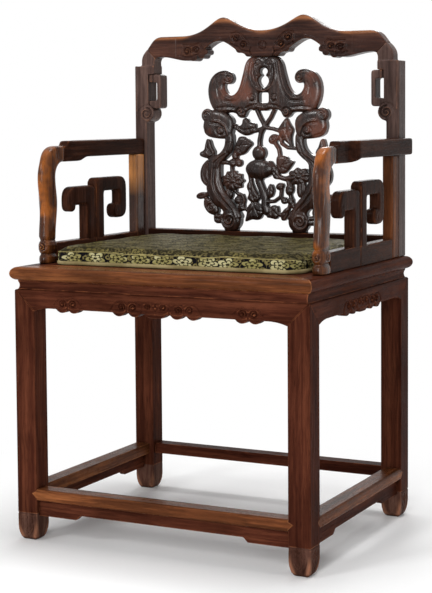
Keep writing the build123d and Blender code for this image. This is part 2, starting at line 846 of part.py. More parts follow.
with BuildPart() as arm_post_front_right:
    with BuildSketch(side_plane(arm_in_x)):
        with BuildLine():
            Spline(
                (front_post_y, seat_top),
                (front_post_y - front_post_knee_out, seat_top + front_post_knee_rise),
                (front_post_y + front_post_waist_in, seat_top + front_post_waist_rise),
                (front_post_y - front_post_swell_out, arm_pad_z - front_post_swell_drop),
                (front_post_y + front_post_bend_in, arm_pad_z - front_post_bend_drop),
                (front_post_top_y, arm_pad_z),
                tangents=[(0, 1), (1, 0)],
            )
            Polyline(
                (front_post_top_y, arm_pad_z),
                (arm_joint_y, arm_pad_z),
                (arm_joint_y, arm_front_under_z),
            )
            TangentArc(
                (arm_joint_y, arm_front_under_z),
                (front_post_rear_y, arm_front_under_z - arm_joint_y + front_post_rear_y),
                tangent=(-1, 0),
            )
            Spline(
                (front_post_rear_y, arm_front_under_z - arm_joint_y + front_post_rear_y),
                (front_post_rear_y + front_post_back_out, seat_top + front_post_back_rise),
                (front_post_rear_y - front_post_heel_in, seat_top + front_post_knee_rise),
                (front_post_rear_y, seat_top),
                tangents=[(0, -1), (0, -1)],
            )
            Line((front_post_rear_y, seat_top), (front_post_y, seat_top))
        make_face()
    extrude(amount=arm_thick)
    curved_edges = arm_post_front_right.faces().filter_by(Axis.X).edges().filter_by(
        lambda edge: seat_top + 1 < edge.center().Z < arm_pad_z - 1 and edge.center().Y < arm_joint_y - 1
    )
    fillet(curved_edges, radius=front_post_edge_r)
    peg(
        (arm_mid_x, (front_post_y + front_post_rear_y) / 2, seat_top - arm_tenon_h / 2),
        (arm_tenon_w, arm_tenon_l, arm_tenon_h),
    )
    sink([arm_rail_right])


def fret_tenon(y):
    """Tenon under the upright of a fret."""
    peg((arm_mid_x, y, bottom_rail_z - fret_tenon_h / 2), (arm_tenon_w, arm_tenon_l, fret_tenon_h))


def inner_corners(outline, top):
    """Corners of a fret between its seat on the low rail and its rounded top."""
    return outline.vertices().filter_by_position(Axis.Y, bottom_rail_z + 1, top - fret_top_r - 1)


with BuildPart() as fret_front_right:
    with BuildSketch(side_plane(arm_in_x)) as front_hook:
        with BuildLine():
            Polyline(
                (fret_seam_y, bottom_rail_z),
                (fret_seam_y, front_fret_top),
                (front_hook_y, front_fret_top),
                (front_hook_y, front_hook_z),
                (front_hook_y + front_hook_w, front_hook_z),
                (front_hook_y + front_hook_w, front_fret_top - front_fret_bar),
                (fret_seam_y - front_fret_w, front_fret_top - front_fret_bar),
                (fret_seam_y - front_fret_w, bottom_rail_z),
                close=True,
            )
        make_face()
        fillet(front_hook.vertices().group_by(Axis.Y)[-1], radius=fret_top_r)
        fillet(inner_corners(front_hook, front_fret_top), radius=fret_r)
    extrude(amount=arm_thick)
    fret_tenon(fret_seam_y - front_fret_w / 2)

with BuildPart() as fret_rear_right:
    with BuildSketch(side_plane(arm_in_x)) as rear_hook:
        with BuildLine():
            Polyline(
                (fret_seam_y, bottom_rail_z),
                (fret_seam_y, rear_fret_top),
                (rear_hook_y, rear_fret_top),
                (rear_hook_y, rear_hook_z),
                (rear_lip_y, rear_hook_z),
                (rear_lip_y, rear_lip_z),
                (rear_hook_y - rear_hook_w, rear_lip_z),
                (rear_hook_y - rear_hook_w, rear_fret_top - rear_fret_bar),
                (fret_seam_y + rear_fret_w, rear_fret_top - rear_fret_bar),
                (fret_seam_y + rear_fret_w, bottom_rail_z),
                close=True,
            )
        make_face()
        fillet(rear_hook.vertices().group_by(Axis.Y)[-1], radius=fret_top_r)
        fillet(inner_corners(rear_hook, rear_fret_top), radius=fret_r)
    extrude(amount=arm_thick)
    fret_tenon(fret_seam_y + rear_fret_w / 2)


def bottom_rail(start_y, end_y, mates):
    """Low rail of the arm, lying on the seat frame."""
    with BuildPart() as rail:
        peg(
            (arm_mid_x, (start_y + end_y) / 2, seat_top + bottom_rail_h / 2),
            (arm_thick, end_y - start_y, bottom_rail_h),
        )
        sink(mates)
    return rail


low_front_y = front_post_rear_y - bottom_rail_housing
arm_low_front_right = bottom_rail(low_front_y, fret_seam_y, [arm_post_front_right, fret_front_right])
arm_low_rear_right = bottom_rail(fret_seam_y, rear_post_y, [fret_rear_right])

# ------------------------------------------------------------ back posts
with BuildPart() as post_head:
    add(head.part)
    split(bisect_by=mitre_right, keep=Keep.TOP)

with BuildPart() as back_post_right:
    with BuildSketch(front_plane(post_back_y)):
        with BuildLine():
            Polyline(
                (post_in_x, seat_top),
                (post_in_x, boss_z),
                (post_wide_x, post_wide_z),
                (post_wide_x, ring_top_z),
                (post_top_x, ring_top_z),
                (post_top_x, post_shoulder_z),
                (post_outer_x, post_shoulder_z),
                (post_outer_x, seat_top),
                close=True,
            )
        make_face()
    extrude(amount=post_depth)
    long_edges = back_post_right.edges().filter_by(lambda edge: edge.length > seat_top / 2)
    fillet(long_edges, radius=post_edge_r)
    with BuildSketch(front_plane(post_back_y)):
        with Locations((boss_x, boss_z)):
            Circle(boss_r)
    extrude(amount=post_depth)
    add(post_head.part)
    peg(
        (post_tenon_x, back_y, seat_top - post_tenon_h / 2),
        (post_tenon_w, post_tenon_l, post_tenon_h),
    )
    sink([crest_rail, back_rail, ring_right, arm_rail_right])
back_post_left = mirrored(back_post_right)

# the arm rail is housed over the rear arm post
with BuildPart() as arm_board_right:
    add(arm_rail_right.part)
    sink([arm_post_rear_right])

# ------------------------------------------------------------ seat panel, battens and frame
with BuildPart() as seat_panel:
    peg((0, 0, seat_top - panel_thick / 2), (2 * frame_in_x, 2 * frame_in_y, panel_thick))
    peg(
        (0, 0, seat_top - panel_tongue_below - panel_tongue_h / 2),
        (2 * (frame_in_x + panel_tongue), 2 * (frame_in_y + panel_tongue), panel_tongue_h),
    )

groove_reach = panel_tongue + groove_room
with BuildPart() as panel_groove:
    peg(
        (0, 0, seat_top - panel_tongue_below - panel_tongue_h / 2),
        (2 * (frame_in_x + groove_reach), 2 * (frame_in_y + groove_reach), panel_tongue_h),
    )

with BuildPart() as batten_right:
    peg((batten_x, 0, panel_bottom - batten_h / 2), (batten_w, 2 * frame_in_y, batten_h))
    peg(
        (batten_x, 0, panel_bottom - batten_shoulder - batten_tenon_h / 2),
        (batten_tenon_w, 2 * (frame_in_y + batten_tenon_l), batten_tenon_h),
    )
batten_left = mirrored(batten_right)


def seat_rail(outer, cross_outer, tongued, angle, mates):
    """Mitred rail of the seat frame with a full round nose."""
    nose = frame_thick / 2
    with BuildPart() as straight:
        with BuildSketch(side_plane(-cross_outer)):
            with Locations((-outer + nose, seat_top - nose)):
                Circle(nose)
            with Locations((-outer + (nose + frame_rail_w) / 2, seat_top - nose)):
                Rectangle(frame_rail_w - nose, frame_thick)
        extrude(amount=2 * cross_outer)
        add(mitre_wedge(outer, cross_outer).part, mode=Mode.INTERSECT)
        if tongued:
            for side in (-1, 1):
                peg(
                    (
                        side * (cross_outer - corner_tongue_stop - corner_tongue_len / 2),
                        -outer + frame_rail_w - corner_tongue_in - corner_tongue_w / 2,
                        seat_top - corner_tongue_below - corner_tongue_h / 2,
                    ),
                    (corner_tongue_len, corner_tongue_w, corner_tongue_h),
                )
    with BuildPart() as rail:
        add(straight.part, rotation=(0, 0, angle))
        sink(mates)
    return rail


seat_rail_right = seat_rail(
    frame_x,
    frame_y,
    True,
    90,
    [panel_groove, leg_front_right, leg_rear_right, arm_post_front_right, arm_post_rear_right, back_post_right],
)
seat_rail_left = mirrored(seat_rail_right)
cross_mates = [panel_groove, seat_rail_left, seat_rail_right, batten_left, batten_right]
seat_rail_front = seat_rail(frame_y, frame_x, False, 0, cross_mates + [leg_front_left, leg_front_right])
seat_rail_back = seat_rail(
    frame_y,
    frame_x,
    False,
    180,
    cross_mates + [leg_rear_left, leg_rear_right, back_post_left, back_post_right],
)

# ------------------------------------------------------------ loose cushion
cushion_w = 2 * (arm_in_x - cushion_side_gap)
cushion_front_y = -frame_y + cushion_front_gap
cushion_back_y = post_front_y - cushion_back_gap
with BuildPart() as cushion:
    with BuildSketch(Plane.XY.offset(seat_top + soft_gap)):
        with Locations((0, (cushion_front_y + cushion_back_y) / 2)):
            RectangleRounded(cushion_w, cushion_back_y - cushion_front_y, cushion_corner_r)
    extrude(amount=cushion_h)
    fillet(cushion.faces().filter_by(Axis.Z).edges(), radius=cushion_edge_r)

# ------------------------------------------------------------ hand-over
pairs = {
    "leg_front": leg_front_right,
    "leg_rear": leg_rear_right,
    "stretcher": stretcher_right,
    "stretcher_strip": strip_right,
    "apron": apron_right,
    "waist": waist_right,
    "seat_rail": seat_rail_right,
    "seat_batten": batten_right,
    "back_post": back_post_right,
    "post_ring": ring_right,
    "splat_dragon": dragon_right,
    "arm_rail": arm_board_right,
    "arm_post_front": arm_post_front_right,
    "arm_post_rear": arm_post_rear_right,
    "arm_low_front": arm_low_front_right,
    "arm_low_rear": arm_low_rear_right,
    "fret_front": fret_front_right,
    "fret_rear": fret_rear_right,
}
for pair_name, right_piece in pairs.items():
    save(f"{pair_name}_right", right_piece)
    save(f"{pair_name}_left", mirrored(right_piece))

singles = {
    "stretcher_front": stretcher_front,
    "stretcher_back": stretcher_back,
    "stretcher_strip_front": strip_front,
    "apron_front": apron_front,
    "apron_back": apron_back,
    "waist_front": waist_front,
    "waist_back": waist_back,
    "seat_rail_front": seat_rail_front,
    "seat_rail_back": seat_rail_back,
    "seat_panel": seat_panel,
    "back_rail": back_rail,
    "crest_rail": crest_rail,
    "splat_crown": splat_crown,
    "splat_vine": splat_vine,
    "cushion": cushion,
}
for single_name, single in singles.items():
    save(single_name, single)
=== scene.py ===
import math

import bmesh
import bpy
import numpy as np
from mathutils import Matrix, Vector, kdtree, noise
from mathutils.bvhtree import BVHTree


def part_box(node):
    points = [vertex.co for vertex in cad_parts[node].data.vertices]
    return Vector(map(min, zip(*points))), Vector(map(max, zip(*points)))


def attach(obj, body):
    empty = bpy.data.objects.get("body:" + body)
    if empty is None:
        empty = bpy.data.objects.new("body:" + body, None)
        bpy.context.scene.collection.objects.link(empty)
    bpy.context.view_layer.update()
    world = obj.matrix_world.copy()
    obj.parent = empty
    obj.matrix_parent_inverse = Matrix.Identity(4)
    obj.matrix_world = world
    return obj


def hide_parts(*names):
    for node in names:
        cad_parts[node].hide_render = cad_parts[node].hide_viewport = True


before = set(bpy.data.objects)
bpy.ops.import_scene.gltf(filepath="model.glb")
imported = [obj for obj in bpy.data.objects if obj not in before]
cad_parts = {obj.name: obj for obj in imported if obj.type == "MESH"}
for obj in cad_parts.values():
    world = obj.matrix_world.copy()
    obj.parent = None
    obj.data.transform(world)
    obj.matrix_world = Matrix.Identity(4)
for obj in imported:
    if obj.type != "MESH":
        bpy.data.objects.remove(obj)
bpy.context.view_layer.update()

MM = 0.001


# ---------------------------------------------------------------- finishes

class Nodes:
    """Short ways to add shader nodes to one tree."""

    def __init__(self, tree):
        self.tree = tree

    def node(self, kind, inputs=None, **settings):
        made = self.tree.nodes.new("ShaderNode" + kind)
        for key, value in settings.items():
            setattr(made, key, value)
        for key, value in (inputs or {}).items():
            self.put(made.inputs[key], value)
        return made

    def put(self, socket, value):
        if isinstance(value, bpy.types.NodeSocket):
            self.tree.links.new(value, socket)
        else:
            socket.default_value = value

    def maths(self, operation, a, b=0.0):
        return self.node("Math", {0: a, 1: b}, operation=operation).outputs[0]

    def times(self, a, b):
        return self.maths("MULTIPLY", a, b)

    def larger(self, a, b):
        return self.maths("MAXIMUM", a, b)

    def vector(self, operation, a, b):
        return self.node("VectorMath", {0: a, 1: b}, operation=operation).outputs[0]

    def step(self, value, low, high, to_low=0.0, to_high=1.0):
        inputs = {"Value": value, "From Min": low, "From Max": high, "To Min": to_low, "To Max": to_high}
        return self.node("MapRange", inputs, interpolation_type="SMOOTHSTEP").outputs["Result"]

    def seen_directly(self):
        """One for camera, glossy and transmission rays, nought for the light that falls on things."""
        path = self.node("LightPath").outputs
        return self.larger(self.larger(path["Is Camera Ray"], path["Is Glossy Ray"]),
                           path["Is Transmission Ray"])


class Finish(Nodes):
    """Builds one material out of nodes."""

    def __init__(self, name):
        self.material = bpy.data.materials.new(name)
        self.material.use_nodes = True
        super().__init__(self.material.node_tree)
        self.shader = self.tree.nodes["Principled BSDF"]

    def set(self, **values):
        for key, value in values.items():
            self.put(self.shader.inputs[key.replace("_", " ")], value)

    def place(self, scale=(1, 1, 1), turn=(0, 0, 0), source=None):
        source = source or self.node("TexCoord").outputs["Object"]
        return self.node("Mapping", {"Vector": source, "Rotation": turn, "Scale": scale}).outputs["Vector"]

    def noise(self, place, scale, detail=4.0, roughness=0.5, distortion=0.0):
        inputs = {"Vector": place, "Scale": scale, "Detail": detail,
                  "Roughness": roughness, "Distortion": distortion}
        return self.node("TexNoise", inputs).outputs["Fac"]

    def mix(self, factor, a, b, blend="MIX"):
        made = self.node("Mix", data_type="RGBA", blend_type=blend)
        for socket, value in ((0, factor), (6, a), (7, b)):
            self.put(made.inputs[socket], value)
        return made.outputs[2]

    def grey(self, value):
        return self.node("CombineColor", {"Red": value, "Green": value, "Blue": value}).outputs[0]

    def shaded(self, colour, shade):
        return self.mix(1.0, colour, self.grey(shade), "MULTIPLY")

    def ramp(self, factor, *stops):
        made = self.node("ValToRGB", {"Fac": factor})
        points = made.color_ramp.elements
        points[0].position, points[0].color = stops[0][0], (*stops[0][1], 1)
        points[1].position, points[1].color = stops[-1][0], (*stops[-1][1], 1)
        for at, colour in stops[1:-1]:
            points.new(at).color = (*colour, 1)
        return made.outputs["Color"]

    def bump(self, height, distance, strength=1.0, under=None):
        inputs = {"Height": height, "Distance": distance, "Strength": strength}
        if under is not None:
            inputs["Normal"] = under
        return self.node("Bump", inputs).outputs["Normal"]


GRAIN = {"X": (0.045, 1, 1), "Y": (1, 0.045, 1), "Z": (1, 1, 0.045)}
EDGE_RADIUS = 2.6 * MM  # reach of the rubbed edges of plain pieces
# how far the ambient occlusion looks for hollows, for the painted shade
PAINTED_SHADE_REACH = 12 * MM


def scaled(colour, share):
    return (*[c * share for c in colour], 1)


def rubbed_edges_and_highlight(f, streak, wear, dense):
    """Where hands have rubbed the wood: along its edges, and where a carved piece is marked; on the crest the
    mark is partly a painted highlight along the top edge.
    """
    if dense:
        edge = f.step(f.node("NewGeometry").outputs["Pointiness"], 0.51, 0.58)
    else:
        bevel = f.node("Bevel", {"Radius": EDGE_RADIUS}, samples=4).outputs["Normal"]
        inputs = {0: bevel, 1: f.node("NewGeometry").outputs["True Normal"]}
        turn = f.node("VectorMath", inputs, operation="DOT_PRODUCT").outputs["Value"]
        edge = f.step(turn, 0.985, 0.86)
    patchy = f.step(f.noise(f.place(), 38, 4, 0.6), 0.4, 0.62)
    edge = f.times(f.times(edge, patchy), wear)
    if dense:
        # the marked amount is wear, and on the crest partly a painted highlight of its top edge
        worn_and_lit = f.node("Attribute", attribute_name="wear_and_highlight").outputs["Fac"]
        edge = f.larger(edge, f.times(worn_and_lit, f.step(streak, 0.3, 0.6, 0.35, 1.0)))
    return edge


def blushed(f, colour, blush, blush_above):
    """Redder patches, in the upper part alone where a height is given."""
    flush = f.step(f.noise(f.place(), 13, 3, 0.6), 0.5, 0.64, 0.0, 0.75)
    if blush_above:
        height = f.node("SeparateXYZ", {0: f.place()}).outputs["Z"]
        flush = f.times(flush, f.step(height, *blush_above, 0.12, 1.0))
    return f.mix(flush, colour, (*blush, 1))


def wood(name, grain, dark, middle, light, worn, blush=None, blush_above=None, wear=0.6, dense=False,
         gloss=0.3, shine=0.06):
    """Old waxed hardwood: streaks along the grain, pores, painted shade in the corners and rubbed edges."""
    f = Finish(name)
    along = f.place(GRAIN[grain])
    drift = f.vector("MULTIPLY", f.noise(f.place(), 7, 2), (0.012,) * 3)
    moved = f.vector("ADD", along, drift)
    streak = f.noise(moved, 170, 6, 0.6, 0.15)
    band = f.noise(moved, 34, 3, 0.5, 0.2)
    pore = f.step(f.noise(along, 1100, 2, 0.5), 0.57, 0.66)
    tone = f.maths("ADD", f.times(streak, 0.5), f.times(band, 0.5))
    colour = f.ramp(tone, (0.36, dark), (0.5, middle), (0.64, light))
    if blush:
        colour = blushed(f, colour, blush, blush_above)
    colour = f.shaded(colour, f.step(f.noise(f.place(), 6.5, 3, 0.55), 0.3, 0.72, 0.72, 1.25))
    colour = f.mix(f.times(pore, 0.45), colour, scaled(dark, 0.35))
    colour = f.mix(rubbed_edges_and_highlight(f, streak, wear, dense), colour, (*worn, 1))
    # Painted shade: the colour is darkened toward the dark tone where ambient occlusion finds hollows,
    # corners and joints; the same mask also makes the wood rougher there.
    hollow = f.node("AmbientOcclusion", {"Distance": PAINTED_SHADE_REACH}, samples=6).outputs["AO"]
    painted_shade = f.step(hollow, 0.7, 0.2, 0.0, 0.85)
    colour = f.mix(painted_shade, colour, scaled(dark, 0.2))
    rough = f.maths("ADD", f.step(streak, 0.3, 0.7, gloss - 0.05, gloss + 0.08),
                    f.step(f.noise(f.place(), 19, 5, 0.65), 0.35, 0.7, -0.05, 0.12))
    rough = f.maths("ADD", rough, f.times(painted_shade, 0.25))
    fine = f.maths("SUBTRACT", f.times(streak, 0.7), f.times(pore, 0.6))
    normal = f.bump(f.noise(f.place(), 60, 2, 0.5), 0.35 * MM, 0.5)
    normal = f.bump(fine, 0.2 * MM, 0.6, under=normal)
    f.set(Base_Color=colour, Roughness=rough, Normal=normal, Specular_IOR_Level=shine)
    return f.material


TONE = {
    "dark": dict(dark=(0.024, 0.0060, 0.0034), middle=(0.054, 0.0150, 0.0080), light=(0.105, 0.032, 0.016),
                 worn=(0.30, 0.10, 0.042), wear=0.7, shine=0.008),
    "foot": dict(dark=(0.034, 0.0130, 0.0085), middle=(0.076, 0.034, 0.0240), light=(0.140, 0.070, 0.050),
                 worn=(0.40, 0.175, 0.100), wear=0.6, shine=0.01),
    "black": dict(dark=(0.014, 0.0050, 0.0030), middle=(0.032, 0.0118, 0.0070), light=(0.066, 0.0240, 0.0130),
                  worn=(0.28, 0.088, 0.030), wear=0.9, shine=0.012, gloss=0.17),
    "post": dict(dark=(0.032, 0.0180, 0.0150), middle=(0.076, 0.0450, 0.0380), light=(0.132, 0.080, 0.0650),
                 worn=(0.34, 0.150, 0.080), shine=0.05, gloss=0.25, wear=0.8),
    # the crest's worn colour also paints the highlight along its top edge
    "crest": dict(dark=(0.015, 0.0064, 0.0048), middle=(0.043, 0.0170, 0.0120), light=(0.098, 0.040, 0.025),
                  worn=(0.34, 0.125, 0.045), shine=0.09, gloss=0.24, wear=0.35),
    "carved": dict(dark=(0.010, 0.0048, 0.0036), middle=(0.021, 0.0095, 0.0068), light=(0.042, 0.018, 0.012),
                   worn=(0.22, 0.098, 0.062), blush=(0.130, 0.042, 0.024), blush_above=(0.66, 0.76),
                   shine=0.3, gloss=0.17, wear=0.55),
    "brown": dict(dark=(0.050, 0.0165, 0.0062), middle=(0.110, 0.035, 0.0130), light=(0.26, 0.090, 0.030),
                  worn=(0.42, 0.18, 0.07), shine=0.03, gloss=0.24),
    "honey": dict(dark=(0.014, 0.0042, 0.0020), middle=(0.054, 0.0160, 0.0056), light=(0.18, 0.057, 0.0150),
                  worn=(0.50, 0.18, 0.04), blush=(0.31, 0.088, 0.012), shine=0.19, gloss=0.12),
    "golden": dict(dark=(0.020, 0.0085, 0.0060), middle=(0.050, 0.0200, 0.0120), light=(0.11, 0.045, 0.022),
                   worn=(0.48, 0.19, 0.050), shine=0.2, gloss=0.2),
}

FINISHES = {}


def finish_for(tone, grain, dense=False):
    """One material for each tone and grain direction, made when it is first asked for."""
    key = (tone, grain, dense)
    if key not in FINISHES:
        name = f"{tone}_wood_{grain.lower()}" + ("_carved" if dense else "")
        FINISHES[key] = wood(name, grain, dense=dense, **TONE[tone])
    return FINISHES[key]


GRAINS = [  # start of the piece's name, tone, grain; the first that fits counts
    ("leg_", "dark", "Z"),
    ("apron_front", "dark", "X"), ("apron_back", "dark", "X"), ("apron_", "dark", "Y"),
    ("waist_front", "dark", "X"), ("waist_back", "dark", "X"), ("waist_", "dark", "Y"),
    ("stretcher_strip_front", "dark", "X"), ("stretcher_strip_", "dark", "Y"),
    ("stretcher_front", "brown", "X"), ("stretcher_back", "dark", "X"), ("stretcher_", "brown", "Y"),
    ("seat_rail_front", "brown", "X"), ("seat_rail_back", "dark", "X"), ("seat_rail_", "dark", "Y"),
    ("seat_panel", "dark", "X"), ("seat_batten_", "dark", "Y"),
    ("back_post_", "post", "Z"), ("back_rail", "black", "X"), ("crest_rail", "crest", "X"),
    ("post_ring_", "post", "Z"), ("splat_", "carved", "Z"),
    ("fret_", "black", "Z"), ("arm_low_", "black", "Y"), ("arm_rail_", "black", "Y"),
    ("arm_post_rear_right", "brown", "Z"), ("arm_post_rear_", "golden", "Z"), ("arm_post_", "honey", "Z"),
]


def tone_of(name):
    for start, tone, grain in GRAINS:
        if name.startswith(start):
            return tone, grain


for name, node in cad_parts.items():
    if name != "cushion":
        node.data.materials.clear()
        node.data.materials.append(finish_for(*tone_of(name)))


# ---------------------------------------------------------------- pieces

def link(mesh_or_curve, name):
    made = bpy.data.objects.new(name, mesh_or_curve)
    bpy.context.scene.collection.objects.link(made)
    return made


def middle_of(node):
    """Middle of a CAD piece in millimetres."""
    low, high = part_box(node)
    return [(a + b) / 2 / MM for a, b in zip(low, high)]


def from_bmesh(bm, name):
    bmesh.ops.recalc_face_normals(bm, faces=bm.faces[:])
    mesh = bpy.data.meshes.new(name)
    bm.to_mesh(mesh)
    bm.free()
    mesh.shade_smooth()
    return link(mesh, name)


def applied(piece):
    """The piece with its modifiers worked into the mesh."""
    bpy.context.view_layer.update()
    seen = piece.evaluated_get(bpy.context.evaluated_depsgraph_get())
    mesh = bpy.data.meshes.new_from_object(seen)
    piece.modifiers.clear()
    piece.data = mesh
    return piece


def points_of(mesh):
    flat = np.empty(len(mesh.vertices) * 3)
    mesh.vertices.foreach_get("co", flat)
    return flat.reshape(-1, 3)


def set_points(mesh, points):
    mesh.vertices.foreach_set("co", points.astype(np.float32).ravel())
    mesh.update()


def normals_of(mesh):
    flat = np.empty(len(mesh.vertices) * 3)
    mesh.vertices.foreach_get("normal", flat)
    return flat.reshape(-1, 3)


def smoothed(piece, times, factor):
    """Evens out the points of a fine skin."""
    bm = bmesh.new()
    bm.from_mesh(piece.data)
    for _ in range(times):
        bmesh.ops.smooth_vert(bm, verts=bm.verts, factor=factor,
                              use_axis_x=True, use_axis_y=True, use_axis_z=True)
    bm.to_mesh(piece.data)
    bm.free()
    return piece


def skinned(piece, voxel):
    """One closed skin of even faces round all the piece's parts; the voxel is in millimetres."""
    remesh = piece.modifiers.new("skin", "REMESH")
    remesh.mode = "VOXEL"
    remesh.voxel_size = voxel * MM
    return applied(piece)


def fine_skin(piece, voxel, times):
    return smoothed(skinned(piece, voxel), times, 0.5)


def dress(piece, material, body="chair", instead=()):
    piece.data.materials.clear()
    piece.data.materials.append(material)
    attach(piece, body)
    if instead:
        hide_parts(*instead)
    return piece


def dress_as(piece, node, tone=None, dense=True):
    """Finish and slot of a piece that stands for a node."""
    usual, grain = tone_of(node)
    tone = tone or usual
    return dress(piece, finish_for(tone, grain, dense), instead=[node])


# ---------------------------------------------------------------- carving tools

def rounded(outline, rounds=2):
    """The outline with its corners cut again and again, so it runs smoothly."""
    points = np.array(outline, float)
    for _ in range(rounds):
        ahead = np.roll(points, -1, axis=0)
        points = np.stack((0.78 * points + 0.22 * ahead, 0.22 * points + 0.78 * ahead), axis=1).reshape(-1, 2)
    return points


def oval(x, z, rx, rz=None, turn=0.0, lobes=0, ruffle=0.0, count=40):
    """A closed ring of points, turned by so many degrees, its edge ruffled into lobes."""
    rz = rx if rz is None else rz
    angle = np.linspace(0, 2 * math.pi, count, endpoint=False)
    reach = 1 + ruffle * np.cos(lobes * angle)
    u, v = rx * reach * np.cos(angle), rz * reach * np.sin(angle)
    c, s = math.cos(math.radians(turn)), math.sin(math.radians(turn))
    return np.stack((x + c * u - s * v, z + s * u + c * v), axis=1)


def spiral(x, z, outer, inner, turns, start, hand=1, count=16):
    """Points winding in from the outer radius; start is the angle in degrees, hand the direction."""
    steps = np.linspace(0, 1, int(count * turns) + 1)
    angle = math.radians(start) + hand * 2 * math.pi * turns * steps
    radius = outer + (inner - outer) * steps
    return np.stack((x + radius * np.cos(angle), z + radius * np.sin(angle)), axis=1)


def to_line(points, line):
    """How far each point lies from a run of straight pieces."""
    line = np.array(line, float)
    best = np.full(len(points), 1e9)
    for start, end in zip(line[:-1], line[1:]):
        run = end - start
        t = np.clip((points - start) @ run / max(run @ run, 1e-9), 0, 1)
        best = np.minimum(best, np.hypot(*(points - start - t[:, None] * run).T))
    return best


def within(points, outline):
    """How deep each point lies inside an outline; negative outside."""
    far = to_line(points, np.vstack((outline, outline[:1])))
    x, z = points.T
    odd = np.zeros(len(points), bool)
    for (ax, az), (bx, bz) in zip(outline, np.roll(outline, -1, axis=0)):
        crosses = (az > z) != (bz > z)
        odd ^= crosses & (x < ax + (z - az) / (bz - az if bz != az else 1e-9) * (bx - ax))
    return np.where(odd, far, -far)


def swell(depth, width, low, high):
    """Cushioned surface: low at the edge, high from one width inwards."""
    t = np.clip(depth / width, 0, 1)
    return low + (high - low) * np.sqrt(np.clip(1 - (1 - t) ** 2, 0, 1))


def cut(points, height, lines):
    """Adds beads (positive) and grooves (negative): each line is (amount, width, points)."""
    for amount, width, line in lines:
        height = height + amount * np.exp(-(to_line(points, line) / width) ** 2)
    return height


def flipped(line):
    """The line's twin on the other side of the middle."""
    return [(-x, z) for x, z in line]


def on_both_sides(lines):
    return lines + [(amount, width, flipped(line)) for amount, width, line in lines]


OUTSIDE = -1e9  # height of a place that no form covers
FORM_MARGIN = 1.6  # how far past its outline a form still gives the height
WALL_FACING = 0.45  # a wall's normal turns less than this towards the front or back


def raise_block(bm, face, vector):
    """Makes a closed block from a face by drawing it out along a vector."""
    grown = bmesh.ops.extrude_face_region(bm, geom=[face], use_keep_orig=True)["geom"]
    bmesh.ops.translate(bm, verts=[g for g in grown if isinstance(g, bmesh.types.BMVert)], vec=vector)


class Form:
    """One carved form of a panel: an outline or a stem, with its edge and middle heights."""

    def __init__(self, low, high, width, outline=None, stem=None, radius=0, lines=()):
        self.low, self.high, self.width = low, high, width
        self.outline = None if outline is None else np.array(outline, float)
        self.stem, self.radius, self.lines = stem, radius, lines

    def height(self, points):
        if self.stem is None:
            depth = within(points, self.outline)
        else:
            depth = self.radius - to_line(points, self.stem)
        height = cut(points, swell(depth, self.width, self.low, self.high), self.lines)
        return np.where(depth > -FORM_MARGIN, height, OUTSIDE)

    def build(self, bm, half):
        """Adds the form's plain block to the mesh, in millimetres about y = 0."""
        if self.stem is None:
            corners = [bm.verts.new((x, -half, z)) for x, z in self.outline]
            raise_block(bm, bm.faces.new(corners), (0, 2 * half, 0))
            return
        for x, z in self.stem:
            place = Matrix.Translation((x, 0, z)) @ Matrix.Rotation(math.pi / 2, 4, "X")
            bmesh.ops.create_cone(bm, cap_ends=True, segments=20, radius1=self.radius,
                                  radius2=self.radius, depth=2 * half, matrix=place)
        for (ax, az), (bx, bz) in zip(self.stem[:-1], self.stem[1:]):
            length = math.hypot(bx - ax, bz - az)
            turn = Matrix.Rotation(-math.atan2(bz - az, bx - ax), 4, "Y")
            size = Matrix.Diagonal((length, 2 * half, 2 * self.radius, 1))
            place = Matrix.Translation(((ax + bx) / 2, 0, (az + bz) / 2))
            bmesh.ops.create_cube(bm, size=1, matrix=place @ turn @ size)

    def mirrored(self):
        lines = [(amount, width, flipped(line)) for amount, width, line in self.lines]
        outline = None if self.outline is None else flipped(self.outline)
        stem = None if self.stem is None else flipped(self.stem)
        return Form(self.low, self.high, self.width, outline, stem, self.radius, lines)


def block_of(forms, half, name):
    """Plain blocks of all the forms, in place but not yet carved (metres, about y = 0)."""
    bm = bmesh.new()
    for form in forms:
        form.build(bm, half)
    bmesh.ops.scale(bm, vec=(MM, MM, MM), verts=bm.verts)
    return from_bmesh(bm, name)


def block_from_node(node, name):
    """A copy of the CAD piece with its doubled points joined."""
    bm = bmesh.new()
    bm.from_mesh(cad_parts[node].data)
    bmesh.ops.remove_doubles(bm, verts=bm.verts, dist=0.01 * MM)
    return from_bmesh(bm, name)


def wall_depth(piece, points):
    """Distance of every point from the piece's side walls, seen from the front."""
    walls = np.flatnonzero(np.abs(normals_of(piece.data)[:, 1]) < WALL_FACING)
    tree = kdtree.KDTree(len(walls))
    for i in walls:
        tree.insert((points[i, 0], 0, points[i, 1]), i)
    tree.balance()
    return np.array([tree.find((x, 0, z))[2] for x, z in points])


def carve(piece, middle_y, half, forms=(), edge=None, lines=(), back=0.86):
    """Works the block into relief. The heights stand for half the thickness, front and back."""
    co = points_of(piece.data) / MM
    flat = co[:, [0, 2]]
    if edge:
        height = swell(wall_depth(piece, flat), *edge)
    else:
        height = np.full(len(co), OUTSIDE)
    for form in forms:
        height = np.maximum(height, form.height(flat))
    low = min([form.low for form in forms] + ([edge[1]] if edge else []))
    height = cut(flat, np.where(height <= OUTSIDE, low, height), lines)
    reach = np.clip(co[:, 1] / half, -1, 1)
    co[:, 1] = middle_y + reach * np.where(reach < 0, height, np.minimum(height, half) * back)
    set_points(piece.data, co * MM)
    smoothed(piece, 2, 0.35)
    piece.data.shade_smooth()
    return piece


FACES = {  # direction of each face, and the axes that its drawing runs along
    "front": ((0, -1, 0), 0), "back": ((0, 1, 0), 0), "right": ((1, 0, 0), 1), "left": ((-1, 0, 0), 1),
}


